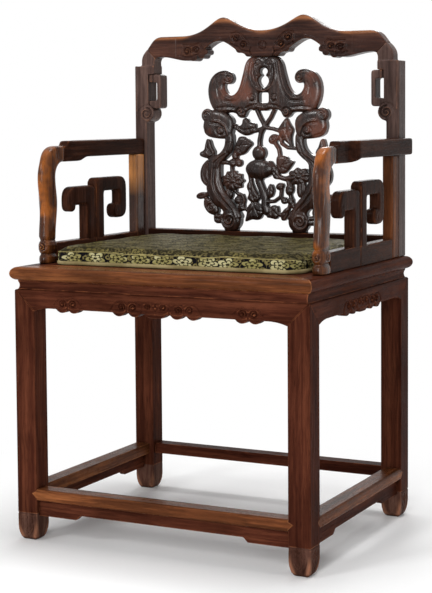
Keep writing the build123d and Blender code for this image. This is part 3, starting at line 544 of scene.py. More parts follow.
def engrave(piece, face, lines):
    """Cuts and raises lines, drawn in millimetres across and up, on one side of a fine skin."""
    facing, axis = FACES[face]
    co = points_of(piece.data)
    normals = normals_of(piece.data)
    flat = co[:, [axis, 2]] / MM
    turned = np.clip((normals @ np.array(facing) - 0.35) / 0.35, 0, 1)
    depth = cut(flat, np.zeros(len(flat)), lines) * turned * MM
    set_points(piece.data, co + normals * depth[:, None])
    return piece


def mark_wear_and_highlight(piece, amount):
    """Stores how far hands and feet have rubbed each point, from 0 to 1; on the crest it also holds a painted
    highlight along the top edge.
    """
    mark = piece.data.attributes.new("wear_and_highlight", "FLOAT", "POINT")
    mark.data.foreach_set("value", np.clip(amount, 0, 1).astype(np.float32))


# ---------------------------------------------------------------- splat: crown

BACK_Y = middle_of("splat_crown")[1]
SPLAT_HALF = 13  # half the thickness of the crown and the dragons
VINE_HALF = 9


def make_crown():
    side = [
        (-1.5, 899), (18, 898), (30, 894), (37.5, 887), (42, 878), (45, 865), (49, 851), (53, 838),
        (58.5, 827), (66, 820), (74, 819), (81, 823), (86, 830.5), (87.5, 838), (85, 843), (80, 841),
        (74, 841.5), (69, 845), (66.5, 852), (68.5, 860), (74, 866), (83, 869), (92, 869), (102, 866.5),
        (111, 861), (118, 853), (122.5, 843), (124.5, 830), (123.5, 817), (120, 804), (114, 793),
        (107, 785.5), (101, 782), (95, 785.5), (89, 781.5), (82, 784), (69, 784.5), (61, 782), (57, 776),
        (50.5, 772.5), (43, 774.5), (39.5, 780), (37, 786), (29, 790.5), (22, 787), (14, 791), (6, 786.5),
        (-1.5, 788), (-1.5, 803), (8.5, 803), (10.5, 805), (10.5, 821.5), (8.5, 823.5), (-1.5, 823.5),
        (-1.5, 832), (1.5, 832.5), (7.5, 838), (11, 844), (11.5, 849.5), (8.5, 854), (4.5, 856.5), (5, 860),
        (8.5, 863), (8.5, 868), (4.5, 872), (-1.5, 873),
    ]
    half = Form(0, 0, 1, rounded(side, 1))
    piece = fine_skin(block_of([half, half.mirrored()], SPLAT_HALF, "carved_crown"), 1.2, 2)
    lines = on_both_sides([
        (1.8, 1.7, [(35, 884), (38, 868), (41, 853), (45, 838), (52, 824), (62, 814), (74, 812), (86, 817),
                    (93, 828)]),
        (-1.8, 1.6, [(30, 883), (33, 866), (36, 850), (41, 833), (48, 818), (58, 808), (72, 806), (86, 808)]),
        (1.6, 1.7, [(26, 880), (28, 864), (27, 850), (21, 838), (10, 829), (0, 827)]),
        (-2.8, 2.6, [(20, 878), (22, 864), (20, 850), (13, 838)]),
        (2.4, 1.8, [(14, 889), (20, 880), (16, 868), (12.5, 860)]),
        (2.2, 1.8, [(13, 853), (15, 846), (11, 838)]),
        (-2.4, 1.4, spiral(11, 882, 6.5, 1.2, 1.4, 200, -1)),
        (2.2, 1.5, [(11, 882), (11.4, 882)]),
        (2.6, 4.0, [(24, 813), (24.1, 813)]),
        (-2.0, 1.2, oval(24, 813, 7, 7).tolist()),
        (-2.8, 1.6, spiral(49.5, 786, 10, 1.8, 1.5, 250, 1)),
        (1.5, 1.7, spiral(49.5, 786, 6.5, 1.0, 1.1, 250, 1)),
        (-3.4, 1.7, spiral(77, 853, 8.2, 1.8, 1.3, -30, -1)),
        (1.6, 1.8, [(77, 853), (77.4, 853)]),
        (1.8, 2.0, [(84, 863), (96, 862), (106, 855), (112, 843)]),
        (-1.6, 1.6, [(96, 843), (101, 832), (99, 818), (92, 806)]),
        (-2.0, 1.8, [(0, 797), (10, 801), (20, 799), (30, 797), (37, 793)]),
        (1.4, 1.6, [(64, 789), (80, 790), (98, 789)]),
        (-1.6, 1.4, [(62, 794), (80, 796), (102, 794)]),
    ])
    carve(piece, BACK_Y, SPLAT_HALF, edge=(15, 7.5, 13.4), lines=lines)
    dress_as(piece, "splat_crown")


# ---------------------------------------------------------------- splat: dragons

def dragon_forms():
    ridge = [(-84, 703), (-100, 695), (-113, 685), (-115, 668), (-117, 643), (-112, 625), (-101, 609),
             (-82, 592)]
    inner = [(-72, 725), (-80, 704), (-97, 686), (-105, 672), (-106, 644), (-99, 626), (-84, 607), (-69, 591),
             (-62, 574), (-62, 560)]
    band = [(-68, 746), (-68, 709), (-81, 695), (-96, 684), (-97, 672), (-97, 653), (-94, 641), (-87, 623),
            (-74, 610), (-64, 596), (-55, 585), (-49, 574), (-60, 562), (-96, 572), (-90, 586), (-114, 601),
            (-126, 618), (-131, 633), (-124, 650), (-124, 672), (-126, 690), (-113, 697), (-99, 702),
            (-88, 716), (-86, 736)]
    belly = [(-120, 692), (-131, 688), (-141, 677), (-145.5, 662), (-143, 646), (-131, 634), (-120, 640),
             (-118, 670)]
    head = [(-66, 772), (-70, 738), (-88, 730), (-130, 736), (-138, 760), (-122, 791), (-92, 789)]
    brow = [(-112, 768), (-96, 766), (-85, 758), (-79, 745), (-78, 728), (-84, 712), (-93, 700)]
    return [
        Form(8, 12.6, 11, rounded(band), lines=[
            (1.5, 1.7, ridge), (-1.7, 1.6, [(x + 4.5, z + 1) for x, z in ridge]),
            (1.3, 1.5, inner), (-1.6, 1.5, [(x - 4.2, z - 1) for x, z in inner])]),
        Form(6, 9.5, 9, rounded(belly), lines=[
            (-1.5, 1.5, [(-124, 686), (-133, 676), (-137, 661), (-133, 648), (-125, 641)]),
            (1.3, 1.4, [(-121, 680), (-128, 668), (-129, 655), (-124, 646)])]),
        Form(8, 13.2, 15, rounded(head), lines=[
            (1.8, 2.0, brow), (-2.0, 2.0, [(x - 4.5, z - 3.5) for x, z in brow]),
            (-2.2, 1.5, oval(-95, 748, 9.5, 8.5).tolist()), (1.6, 1.4, spiral(-95, 748, 7, 1, 1.3, 0)),
            (-1.2, 1.5, [(-134, 752), (-126, 742), (-112, 738)])]),
        Form(7, 12.4, 8, oval(-126, 779, 14), lines=[
            (-2.6, 1.5, spiral(-126, 779, 9.5, 1.6, 1.7, -60)),
            (1.2, 1.3, spiral(-126, 779, 12, 4, 1.7, -60))]),
        Form(8, 12.6, 10, oval(-75, 567.5, 22.5), lines=[
            (-2.4, 1.6, spiral(-78, 568, 15, 2, 1.8, 75, 1)),
            (1.4, 1.5, spiral(-78, 568, 19, 5, 1.8, 75, 1))]),
        Form(6, 9.5, 6, rounded([(-129, 733), (-121, 730), (-117, 716), (-110, 706), (-112, 697), (-128, 691),
                                 (-145, 696), (-146, 704), (-135, 709), (-133, 720)]), lines=[
            (-1.8, 1.3, [(-126, 728), (-128, 712), (-138, 702)]), (-1.6, 1.3, [(-127, 714), (-117, 702)]),
            (1.4, 2.0, [(-129, 703), (-122, 698)])]),
        Form(6, 9.8, 7, rounded([(-136, 612), (-138, 596), (-129, 582), (-116, 576), (-102, 581), (-104, 594),
                                 (-113, 604), (-124, 612)]), lines=[
            (1.6, 1.5, spiral(-119, 593, 11, 4, 0.9, 100)), (-1.8, 1.5, spiral(-119, 593, 7, 2, 0.9, 100))]),
        Form(6, 8.6, 5, oval(-142, 616, 12.5, 7, 12), lines=[(-1.4, 1.3, [(-152, 614), (-134, 618)])]),
        Form(6, 8, 4, stem=[(-136, 617), (-121, 622)], radius=4.5),
        Form(6, 9.5, 4, rounded([(-115, 579), (-90, 579), (-90, 560), (-113, 560)], 1), lines=[
            (-1.6, 1.3, [(-110, 570), (-99, 570)])]),
        Form(7, 8, 3, [(-88, 560), (-62, 560), (-60, 546), (-90, 546)]),
    ]


def make_dragons():
    left = dragon_forms()
    for side, forms in (("left", left), ("right", [form.mirrored() for form in left])):
        piece = fine_skin(block_of(forms, SPLAT_HALF, f"carved_dragon_{side}"), 1.25, 2)
        carve(piece, BACK_Y, SPLAT_HALF, forms=forms)
        dress_as(piece, f"splat_dragon_{side}")


# ---------------------------------------------------------------- splat: gourd vine

def leaf(outline, midrib, *veins):
    """A leaf with a cut midrib and finer side veins."""
    lines = [(-1.7, 1.3, midrib)] + [(-1.1, 1.1, vein) for vein in veins]
    return Form(4.5, 8.6, 9, rounded(outline), lines=lines)


def stem(*line, radius=4.0, high=7.0):
    return Form(3.5, high, radius, stem=list(line), radius=radius)


def berry(x, z, r=7.5, high=9.0, rz=None, turn=0):
    eye = (-1.2, 1.0, [(x + r * 0.3, z), (x + r, z)])
    return Form(4, high, r, oval(x, z, r, rz, turn, count=24), lines=[eye])


def flower(x, z, rx, rz, petals, turn=0.0):
    """A ruffled blossom with ribs and grooves running out from a raised eye."""
    ribs = []
    for i in range(petals * 2):
        a = math.pi * i / petals + 0.3
        ribs.append((-1.5 if i % 2 else 0.9, 1.2,
                     [(x + rx * 0.35 * math.cos(a), z + rz * 0.35 * math.sin(a)),
                      (x + rx * math.cos(a + 0.12), z + rz * math.sin(a + 0.12))]))
    ribs.append((1.8, 3.0, [(x - 0.5, z), (x + 0.5, z)]))
    ribs.append((-1.2, 1.2, oval(x, z, rx * 0.3, rz * 0.3, count=16).tolist()))
    return Form(5, 9.2, 12, oval(x, z, rx, rz, turn, petals, 0.09, 72), lines=ribs)


def vine_forms():
    return [
        stem((-22, 799), (-10, 774), (0, 757), radius=4.5),
        stem((26, 799), (13, 774), (0, 757), radius=4.5),
        stem((-50, 752), (-38, 746), (-22, 747), (0, 754), (17, 752), (34, 747), radius=4.2),
        stem((-1, 757), (-9, 742), (-12, 728), (-12, 706), radius=4.8, high=8),
        stem((-104, 683), (-88, 684), (-70, 682), radius=4.6),
        stem((-66, 697), (-64, 708), (-54, 716), (-44, 722), radius=3.6),
        stem((-74, 684), (-74, 670), (-72, 660), radius=4),
        stem((33, 737), (37, 722), (50, 714), (64, 713), (78, 712), radius=3.8),
        stem((20, 726), (30, 712), (34, 692), radius=4.2),
        stem((12, 684), (22, 672), (30, 668), radius=4.5),
        stem((-34, 662), (-31, 645), (-28, 634), radius=4.5),
        stem((-72, 632), (-62, 622), (-50, 618), (-46, 608), (-49, 596), (-58, 588), radius=3.8),
        stem((-52, 594), (-42, 590), (-34, 584), radius=4),
        stem((-10, 655), (-14, 648), (-10, 638), (-4, 624), (0, 611), (-1, 598), (3, 586), radius=8.2,
             high=8.8),
        stem((36, 634), (34, 616), (20, 607), (4, 606), radius=4),
        stem((33, 655), (44, 652), (56, 655), radius=5),
        stem((50, 648), (52, 634), (54, 622), (58, 612), radius=4),
        stem((0, 600), (10, 590), (20, 584), (36, 580), radius=5),
        stem((54, 600), (50, 590), (46, 582), radius=4),
        stem((84, 645), (88, 652), (98, 656), radius=4.5),
        leaf([(-78, 764), (-65, 764), (-57, 757), (-50, 761), (-49, 771), (-40, 775), (-31, 764), (-18, 763),
              (-19, 747), (-29, 740), (-42, 737), (-56, 743), (-67, 752)],
             [(-72, 760), (-45, 749), (-22, 753)], [(-45, 750), (-41, 771)], [(-52, 751), (-55, 745)],
             [(-34, 751), (-30, 743)]),
        leaf([(-57, 737), (-42, 736), (-24, 722), (-35, 711), (-43, 701), (-56, 697), (-71, 697), (-68, 712),
              (-62, 726)],
             [(-43, 733), (-53, 717), (-65, 701)], [(-52, 719), (-31, 720)], [(-54, 716), (-64, 717)],
             [(-57, 711), (-50, 702)]),
        leaf([(48, 776), (37, 763), (27, 749), (36, 733), (50, 723), (62, 711), (58, 733), (64, 750),
              (55, 762)],
             [(48, 772), (47, 748), (59, 716)], [(48, 752), (32, 749)], [(47, 742), (60, 751)],
             [(49, 736), (40, 733)]),
        Form(4.5, 8.8, 8, oval(19, 731, 11.5, 9.5, 40), lines=[(-1.8, 1.2, spiral(19, 731, 8, 1, 1.4, 200)),
                                                             (1.0, 1.0, spiral(19, 731, 10, 3, 1.4, 200))]),
        flower(-71, 647, 24, 20, 9),
        flower(74, 657, 24, 17, 8, 10),
        leaf([(25, 697), (25, 675), (31, 663), (44, 661), (55, 672), (66, 687), (55, 690), (47, 698),
              (36, 699)],
             [(33, 664), (40, 680), (51, 693)], [(36, 672), (29, 684)], [(40, 680), (56, 684)],
             [(38, 676), (48, 672)]),
        leaf([(16, 674), (28, 675), (33, 661), (33, 650), (17, 652)], [(18, 668), (30, 656)]),
        leaf([(-35, 649), (-42, 636), (-35, 622), (-41, 612), (-31, 604), (-18, 603), (-9, 613), (-20, 629),
              (-26, 643)],
             [(-31, 645), (-30, 622), (-22, 607)], [(-30, 628), (-37, 633)], [(-28, 618), (-16, 613)]),
        leaf([(-46, 563), (-41, 580), (-39, 597), (-27, 607), (-14, 604), (-2, 592), (-7, 573), (-16, 568),
              (-30, 570)],
             [(-24, 604), (-31, 572)], [(-24, 600), (-12, 573)], [(-27, 590), (-38, 580)],
             [(-18, 588), (-6, 586)]),
        leaf([(2, 574), (5, 589), (15, 600), (30, 599), (32, 583), (26, 570), (13, 573)],
             [(13, 598), (17, 574)], [(15, 592), (28, 580)], [(15, 586), (7, 580)]),
        leaf([(34, 582), (44, 595), (56, 596), (51, 581), (45, 568), (35, 569)], [(54, 592), (40, 573)],
             [(48, 584), (40, 584)]),
        leaf([(72, 650), (88, 646), (92, 630), (83, 615), (73, 615), (68, 629)], [(80, 646), (79, 618)],
             [(74, 644), (73, 622)], [(86, 641), (84, 621)]),
        leaf([(10, 643), (17, 641), (22, 628), (17, 615), (5, 612), (2, 626)], [(12, 640), (9, 616)],
             [(11, 630), (19, 624)]),
        leaf([(-90, 627), (-83, 632), (-69, 623), (-73, 609), (-84, 610)], [(-80, 628), (-80, 613)]),
        berry(33, 637, 9.5, 9.2, 7.5, 20),
        berry(54, 631, 9.5, 9.2, 12.5, -10),
        berry(42, 609, 7.5), berry(56, 608, 8), berry(62, 599, 6.5),
        berry(-60, 608, 8.5), berry(-52, 594, 8.5),
        berry(-66, 697, 7.5), berry(-72, 683, 8.5), berry(-58, 683, 8.5),
        Form(6, 12.5, 13, oval(-12, 703, 15, 15)),
        Form(6, 13.2, 20, oval(-11, 671, 31, 20)),
    ]


def make_vine():
    forms = vine_forms()
    piece = fine_skin(block_of(forms, VINE_HALF, "carved_vine"), 1.15, 2)
    carve(piece, BACK_Y, VINE_HALF, forms=forms, back=1.0)
    dress_as(piece, "splat_vine")


make_crown()
make_dragons()
make_vine()


# ---------------------------------------------------------------- crest rail

def curl(x, z, r, start, hand=1):
    """Lines of one cut scroll: a dark channel winding round a raised eye."""
    return [
        (-2.6, 1.5, spiral(x, z, r, r * 0.3, 1.35, start, hand)),
        (1.3, 1.5, spiral(x, z, r * 0.68, 0.6, 1.0, start, hand)),
        (1.5, 1.6, [(x, z), (x + 0.4, z)]),
    ]


CREST_LOBES = (  # across, up and radius
    (154, 897.5, 8.5), (136, 900.5, 7), (127, 907, 6), (31, 903, 8), (51, 910.5, 7.5),
)
LOBE_DEPTH = 31


def crest_top(x):
    """Rough height of the crest's upper edge at a distance from the middle."""
    x = np.clip(x / 180, 0, 1)
    return 947 + 28 * np.clip(np.sin(np.pi * x), 0, 1) ** 1.6 - 7 * x


def make_crest():
    piece = block_from_node("crest_rail", "carved_crest")
    turn = Matrix.Rotation(math.pi / 2, 4, "X")
    bm = bmesh.new()
    bm.from_mesh(piece.data)
    for x, z, radius in CREST_LOBES:
        for hand in (-1, 1):
            place = Matrix.Translation(Vector((hand * x, BACK_Y, z)) * MM)
            bmesh.ops.create_cone(bm, cap_ends=True, segments=28, radius1=radius * MM,
                                  radius2=radius * MM, depth=LOBE_DEPTH * MM, matrix=place @ turn)
    bm.to_mesh(piece.data)
    bm.free()
    fine_skin(piece, 1.3, 3)
    lines = on_both_sides(
        curl(167, 909, 8.5, 200, -1) + curl(147, 911.5, 7, -20, 1) + curl(57, 932, 8.5, 20, 1)
        + curl(41, 919, 7.5, 200, -1)
        + [
            (1.6, 2.2, [(176.5, 917), (178.5, 908), (173, 900)]),
            (1.4, 2.0, [(157, 916), (158, 906), (155, 900)]),
            (-2.2, 2.2, [(176, 922), (165, 922), (153, 921), (141, 924), (136, 919)]),
            (-1.8, 1.8, [(182, 901), (172, 898), (158, 898), (148, 901), (137, 905), (131, 912)]),
            (1.4, 2.2, [(139, 904), (130, 912), (120, 921), (108, 928), (93, 931.5)]),
            (-2.2, 2.2, [(68, 941), (57, 944), (46, 939), (36, 930), (30, 921)]),
            (-1.8, 1.7, [(68, 922), (60, 918), (51, 914), (44, 908.5), (34, 906), (27, 905)]),
            (1.4, 2.0, [(67, 936), (68, 927), (63, 920)]),
            (-2.0, 1.5, [(23, 897), (27, 904), (25, 912)]),
            (-0.7, 0.9, [(193, 899), (193, 940)]),
        ]
    )
    lines += [(-1.6, 1.3, oval(1, 917, 8.5, 7.5).tolist()), (1.8, 3.2, [(1, 917), (1.5, 917)])]
    engrave(piece, "front", lines)
    # Worn colour on the front faces along the crest's top edge: partly wear, partly a painted highlight of
    # the lit top edge, duller about x = -148.
    co, normals = points_of(piece.data) / MM, normals_of(piece.data)
    near_top = np.exp(-((crest_top(np.abs(co[:, 0])) - co[:, 2] - 2) / 4.5) ** 2)
    facing = np.clip((-normals[:, 1] - 0.1) / 0.5, 0, 1)
    dull_place = 1 - 0.8 * np.exp(-((co[:, 0] + 148) / 9) ** 2)
    mark_wear_and_highlight(piece, near_top * facing * dull_place * 0.7)
    dress_as(piece, "crest_rail")


# ---------------------------------------------------------------- aprons, feet, posts and arms

CLOUD_Z = 441  # height of the cloud scrolls on the aprons


def cloud_band():
    """Cloud scrolls in the middle of an apron, for its right half."""
    z = CLOUD_Z
    return (
        curl(68, z + 1.5, 7, 200, -1) + curl(45, z + 1, 7, -20, 1) + curl(16, z + 4, 5.5, 210, -1)
        + [
            (-1.6, 1.4, [(90, z - 3), (84, z + 6), (76, z + 11), (64, z + 11), (56, z + 7), (50, z + 11),
                         (40, z + 11), (32, z + 6), (24, z + 11), (10, z + 12), (0, z + 9)]),
            (1.1, 1.8, [(88, z - 6), (80, z - 8.5), (68, z - 8.5), (58, z - 4)]),
            (1.1, 1.8, [(56, z - 5), (46, z - 8.5), (34, z - 7), (27, z - 2)]),
            (1.1, 1.8, [(26, z - 4), (14, z - 8.5), (0, z - 8.5)]),
            (-1.5, 1.3, [(57.5, z - 8), (57, z + 2)]), (-1.5, 1.3, [(28, z - 8), (27, z + 3)]),
            (-1.4, 1.3, [(0, z + 6), (5, z + 2), (0, z - 2)]),
        ]
    )


def end_clouds():
    """The two scrolls near a leg of the front apron."""
    z = CLOUD_Z
    return curl(191, z + 1, 7.5, 200, -1) + curl(169, z + 1, 7.5, -20, 1) + [
        (-1.6, 1.4, [(208, z), (200, z + 9), (190, z + 12), (180, z + 8), (170, z + 12), (160, z + 9),
                     (152, z)]),
        (1.1, 1.8, [(202, z - 7), (192, z - 9), (182, z - 5)]),
        (1.1, 1.8, [(178, z - 6), (168, z - 9), (157, z - 6)]),
        (-1.5, 1.3, [(180.5, z - 8), (180, z + 2)]),
    ]


def make_aprons():
    drawings = {"front": cloud_band() + end_clouds(), "left": cloud_band(), "right": cloud_band()}
    for side, lines in drawings.items():
        piece = fine_skin(block_from_node(f"apron_{side}", f"carved_apron_{side}"), 1.3, 1)
        engrave(piece, side, on_both_sides(lines))
        dress_as(piece, f"apron_{side}")


FOOT_TOP = 52
FOOT_CURVE_TOP = 34  # below this height the foot draws in


def half_of(node, name, keep_low):
    """The part of a leg under or over the line where its foot begins, closed again."""
    piece = block_from_node(node, name)
    bm = bmesh.new()
    bm.from_mesh(piece.data)
    geom = bm.verts[:] + bm.edges[:] + bm.faces[:]
    bmesh.ops.bisect_plane(bm, geom=geom, dist=1e-6, plane_co=(0, 0, FOOT_TOP * MM), plane_no=(0, 0, 1),
                           clear_outer=keep_low, clear_inner=not keep_low)
    bmesh.ops.holes_fill(bm, edges=[edge for edge in bm.edges if edge.is_boundary])
    bmesh.ops.recalc_face_normals(bm, faces=bm.faces[:])
    bm.to_mesh(piece.data)
    bm.free()
    return piece


def foot_lines(middle):
    """Drawing of one face of a foot."""
    lines = on_both_sides([
        (-1.1, 1.0, spiral(-7.5, 36, 5.5, 1, 1.4, 20, 1)),
        (0.7, 1.2, [(-16, 40), (-13, 46), (-5, 46.5)]),
        (-1.0, 1.0, [(-14, 29), (-11, 18), (-4, 8)]),
        (-0.9, 1.0, [(0, 44), (-1.5, 32), (0, 22)]),
        (-0.9, 1.0, [(-9, 25), (-4, 17), (0, 13)]),
    ])
    lines.append((-1.2, 1.0, [(-22, 50), (22, 50)]))
    return [(amount, width, [(middle + x, z) for x, z in line]) for amount, width, line in lines]


def worn_foot(co, x, y):
    """Wear on the lower corners and the sole of a foot that stands about (x, y)."""
    drawn_in = 10 * (1 - np.clip(co[:, 2] / FOOT_CURVE_TOP, 0, 1)) ** 2
    to_corner = np.abs(co[:, 0] - x) + np.abs(co[:, 1] - y)
    corners = np.clip((to_corner - (34 - 1.7 * drawn_in)) / 6, 0, 1) * np.clip((40 - co[:, 2]) / 18, 0, 1)
    return np.maximum(corners * 0.55, np.clip((5 - co[:, 2]) / 4, 0, 1) * 0.5)


def make_legs():
    """Each leg as a plain shaft and a carved foot."""
    for end, face in (("front", "front"), ("rear", "back")):
        for side in ("left", "right"):
            node = f"leg_{end}_{side}"
            x, y, _ = middle_of(node)
            shaft = half_of(node, f"{node}_shaft", False)
            shaft.data.shade_flat()
            dress_as(shaft, node, dense=False)
            foot = fine_skin(half_of(node, f"{node}_foot", True), 1.1, 1)
            engrave(foot, face, foot_lines(x))
            engrave(foot, side, foot_lines(y))
            mark_wear_and_highlight(foot, worn_foot(points_of(foot.data) / MM, x, y))
            dress_as(foot, node, tone="foot")


def boss_lines(x, z, hand):
    """The round boss at the foot of a back post."""
    return [
        (-3.0, 1.9, spiral(x, z, 12.5, 2.5, 1.6, 90, hand)),
        (1.0, 2.2, spiral(x, z, 15.5, 6, 1.4, 90, hand)),
        (-1.6, 2.0, [(x, z), (x + 0.5, z)]),
        (-1.4, 1.6, spiral(x, z, 18.5, 17.5, 0.45, 0 if hand > 0 else 180, hand)),
    ]


def ring_lines(hand):
    """A bead between two grooves down the middle of a post's ring."""
    lines = [(1.6, 2.4, [(251, 862), (251, 850)])]
    lines += [(-1.4, 1.2, [(x, 848), (x, 864)]) for x in (246.5, 255.5)]
    return [(amount, width, [(hand * x, z) for x, z in line]) for amount, width, line in lines]


def make_back_posts():
    for side, hand in (("left", -1), ("right", 1)):
        piece = fine_skin(block_from_node(f"back_post_{side}", f"carved_back_post_{side}"), 1.4, 2)
        bead = (1.2, 1.8, [(hand * 284, 790), (hand * 284.5, 880)])
        engrave(piece, "front", boss_lines(hand * 262, 783, hand) + [bead])
        dress_as(piece, f"back_post_{side}")
        ring = fine_skin(block_from_node(f"post_ring_{side}", f"soft_post_ring_{side}"), 1.1, 18)
        engrave(ring, "front", ring_lines(hand))
        dress_as(ring, f"post_ring_{side}")


ARM_X = middle_of("arm_post_front_right")[0]
ARM_HALF = 10.6
ARM_ROUND_TOP = 715  # above this the front posts stay square, to meet the arms
ARM_BACK_Y = -132
KNOB_Z = 536
KNOB_FROM = 505.6  # the post's end below this stands flat on the seat
KNOB = [(505, 0.6), (508, 2.0), (513, 2.4), (518, 1.6), (523.5, -2.2), (527, 0.8), (532, 2.6), (540, 2.6),
        (545, 0.8), (548.5, -2.2), (552, -0.4), (556, 0)]


def round_section(piece, middle):
    """Turns the square section of an upright into a round one, mostly on its front side."""
    co = points_of(piece.data) / MM
    shelf = np.round(co[:, 2] / 2).astype(int)
    shelf -= shelf.min()
    low, high = np.full(shelf.max() + 1, 1e9), np.full(shelf.max() + 1, -1e9)
    np.minimum.at(low, shelf, co[:, 1])
    np.maximum.at(high, shelf, co[:, 1])
    centre, reach = ((low + high) / 2)[shelf], ((high - low) / 2)[shelf]
    u = np.clip((co[:, 0] - middle) / ARM_HALF, -1, 1)
    v = np.clip((co[:, 1] - centre) / np.maximum(reach, 1e-6), -1, 1)
    amount = np.clip((ARM_ROUND_TOP - co[:, 2]) / 25, 0, 1) * np.where(v < 0, 1, 0.3)
    co[:, 0] = middle + ARM_HALF * u * (1 - amount + amount * 1.07 * np.sqrt(1 - 0.38 * v * v))
    co[:, 1] = centre + reach * v * (1 - amount + amount * 1.03 * np.sqrt(1 - 0.38 * u * u))
    set_points(piece.data, co * MM)


def turn_knob(piece):
    """Swells and draws in the foot of a front arm post along the knob's profile."""
    co, normals = points_of(piece.data), normals_of(piece.data)
    out = np.interp(co[:, 2] / MM, *zip(*KNOB)) * MM
    level = normals * (1, 1, 0)
    reach = np.clip(np.maximum(-normals[:, 1], np.abs(normals[:, 0])), 0, 1)
    behind = np.clip((ARM_BACK_Y * MM - co[:, 1]) / (10 * MM), 0, 1)
    above_seat = co[:, 2] > KNOB_FROM * MM
    set_points(piece.data, co + level * (out * reach * behind * above_seat)[:, None])


def make_arm_posts():
    for side, hand in (("left", -1), ("right", 1)):
        node = f"arm_post_front_{side}"
        piece = fine_skin(block_from_node(node, f"carved_arm_post_{side}"), 1.15, 5)
        round_section(piece, hand * ARM_X)
        turn_knob(piece)
        engrave(piece, "front", [
            (-1.8, 1.3, spiral(hand * ARM_X, KNOB_Z, 8, 1.5, 1.5, 90, hand)),
            (1.0, 1.5, spiral(hand * ARM_X, KNOB_Z, 5, 0.5, 1.0, 90, hand)),
        ])
        engrave(piece, side, [
            (-1.6, 1.4, spiral(-152, KNOB_Z, 9, 2, 1.5, 90, 1)),
            (1.0, 1.6, [(-168, 556), (-163, 640)]),
        ])
        dress_as(piece, node)


def bent(corners):
    """An outline from corners given as (across, up, radius), each turned in a soft bend."""
    line = []
    for i, (x, z, radius) in enumerate(corners):
        here = np.array((x, z), float)
        if radius == 0:
            line.append(tuple(here))
            continue
        before, after = (np.array(corners[j % len(corners)][:2], float) - here for j in (i - 1, i + 1))
        start = here + before / np.linalg.norm(before) * radius
        end = here + after / np.linalg.norm(after) * radius
        for t in np.linspace(0, 1, 7):
            line.append(tuple((1 - t) ** 2 * start + 2 * t * (1 - t) * here + t * t * end))
    return line


FRETS = {
    "fret_front": [(6, 536, 0), (6, 645, 13), (-90, 645, 24), (-90, 597, 15), (-65, 597, 12), (-65, 609, 4),
                   (-27, 609, 5), (-27, 536, 0)],
    "fret_rear": [(6, 536, 0), (6, 659, 13), (127.5, 659, 24), (127.5, 576, 22), (76, 576, 17), (76, 605, 13),
                  (98, 605, 6), (98, 632, 7), (40, 632, 7), (40, 536, 0)],
}
FRET_LINES = {
    "fret_front": [(-1.2, 1.1, [(0, 540), (0, 634)]), (1.0, 1.6, [(3, 540), (3, 636)]),
                   (-0.9, 1.0, [(-22, 540), (-22, 604)]), (-1.0, 1.2, spiral(-78, 611, 8, 2, 1.0, 90, 1))],
    "fret_rear": [(-1.2, 1.1, [(12, 540), (12, 648)]), (1.0, 1.6, [(9, 540), (9, 650)]),
                  (-0.9, 1.0, [(35, 540), (35, 628)]), (-1.0, 1.2, spiral(90, 590, 9, 2, 1.0, 90, 1))],
}
FRET_HALF = 10.5


def make_frets():
    turn = np.array(((0, 1, 0), (-1, 0, 0), (0, 0, 1)), float)  # from across the chair to along it
    for start, corners in FRETS.items():
        form = Form(6.8, 10.6, 8, bent(corners), lines=FRET_LINES[start])
        for side, hand in (("left", -1), ("right", 1)):
            piece = fine_skin(block_of([form], FRET_HALF, f"soft_{start}_{side}"), 1.2, 1)
            carve(piece, 0, FRET_HALF, forms=[form], back=1.0)
            set_points(piece.data, points_of(piece.data) @ turn + np.array((hand * ARM_X * MM, 0, 0)))
            dress_as(piece, f"{start}_{side}")


SOFTENED = {  # start of the name: voxel and rounds of smoothing
    "arm_rail_": (1.5, 18), "arm_post_rear_": (1.3, 6), "arm_low_front_": (1.6, 4), "arm_low_rear_": (1.6, 4),
}


def make_softened():
    """Arms, low rails and rear arm posts with their edges rounded by hand."""
    for start, (voxel, times) in SOFTENED.items():
        for side in ("left", "right"):
            node = start + side
            piece = fine_skin(block_from_node(node, f"soft_{node}"), voxel, times)
            piece.data.shade_smooth()
            if node == "arm_post_rear_left":
                mark_wear_and_highlight(piece, (points_of(piece.data)[:, 2] / MM - 615) / 45)
            dress_as(piece, node)


make_crest()
make_aprons()
make_legs()
make_back_posts()
make_arm_posts()
make_frets()
make_softened()


# ---------------------------------------------------------------- cushion

CUSHION_LOW, CUSHION_HIGH = (Vector(corner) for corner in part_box("cushion"))
CUSHION_MIDDLE = (CUSHION_LOW + CUSHION_HIGH) / 2
CUSHION_HALF = (CUSHION_HIGH - CUSHION_LOW) / 2
CUSHION_CORNER = 45 * MM
CUSHION_CORNERS = (24, 46, 46, 46)  # radii before filling, from the front left round by the right
SEAM_OVERLAP = (1, 2)  # how far the tight corner reaches past the others, across and forwards
SLAB_HEIGHT = 25.5 * MM
PAD_VOXEL = 5
PRESSURE = 4
FILLING_FRAMES = 16
MOST_SWELL = 6 * MM
UV_BORDER, UV_TOP, UV_BELOW = 1.01, 2, 4  # added to V, so the pad's faces lie apart in the UV map
BORDER_V = CUSHION_LOW[2] + 15.5 * MM + UV_BORDER  # middle of the border's blossoms
TOP_V = (1.6, 1.7)  # the gap between the border and the top
BLOSSOM_PITCH = 0.046
BLOSSOM_RADIUS = 0.0134
PETAL_DEPTH = 0.0024


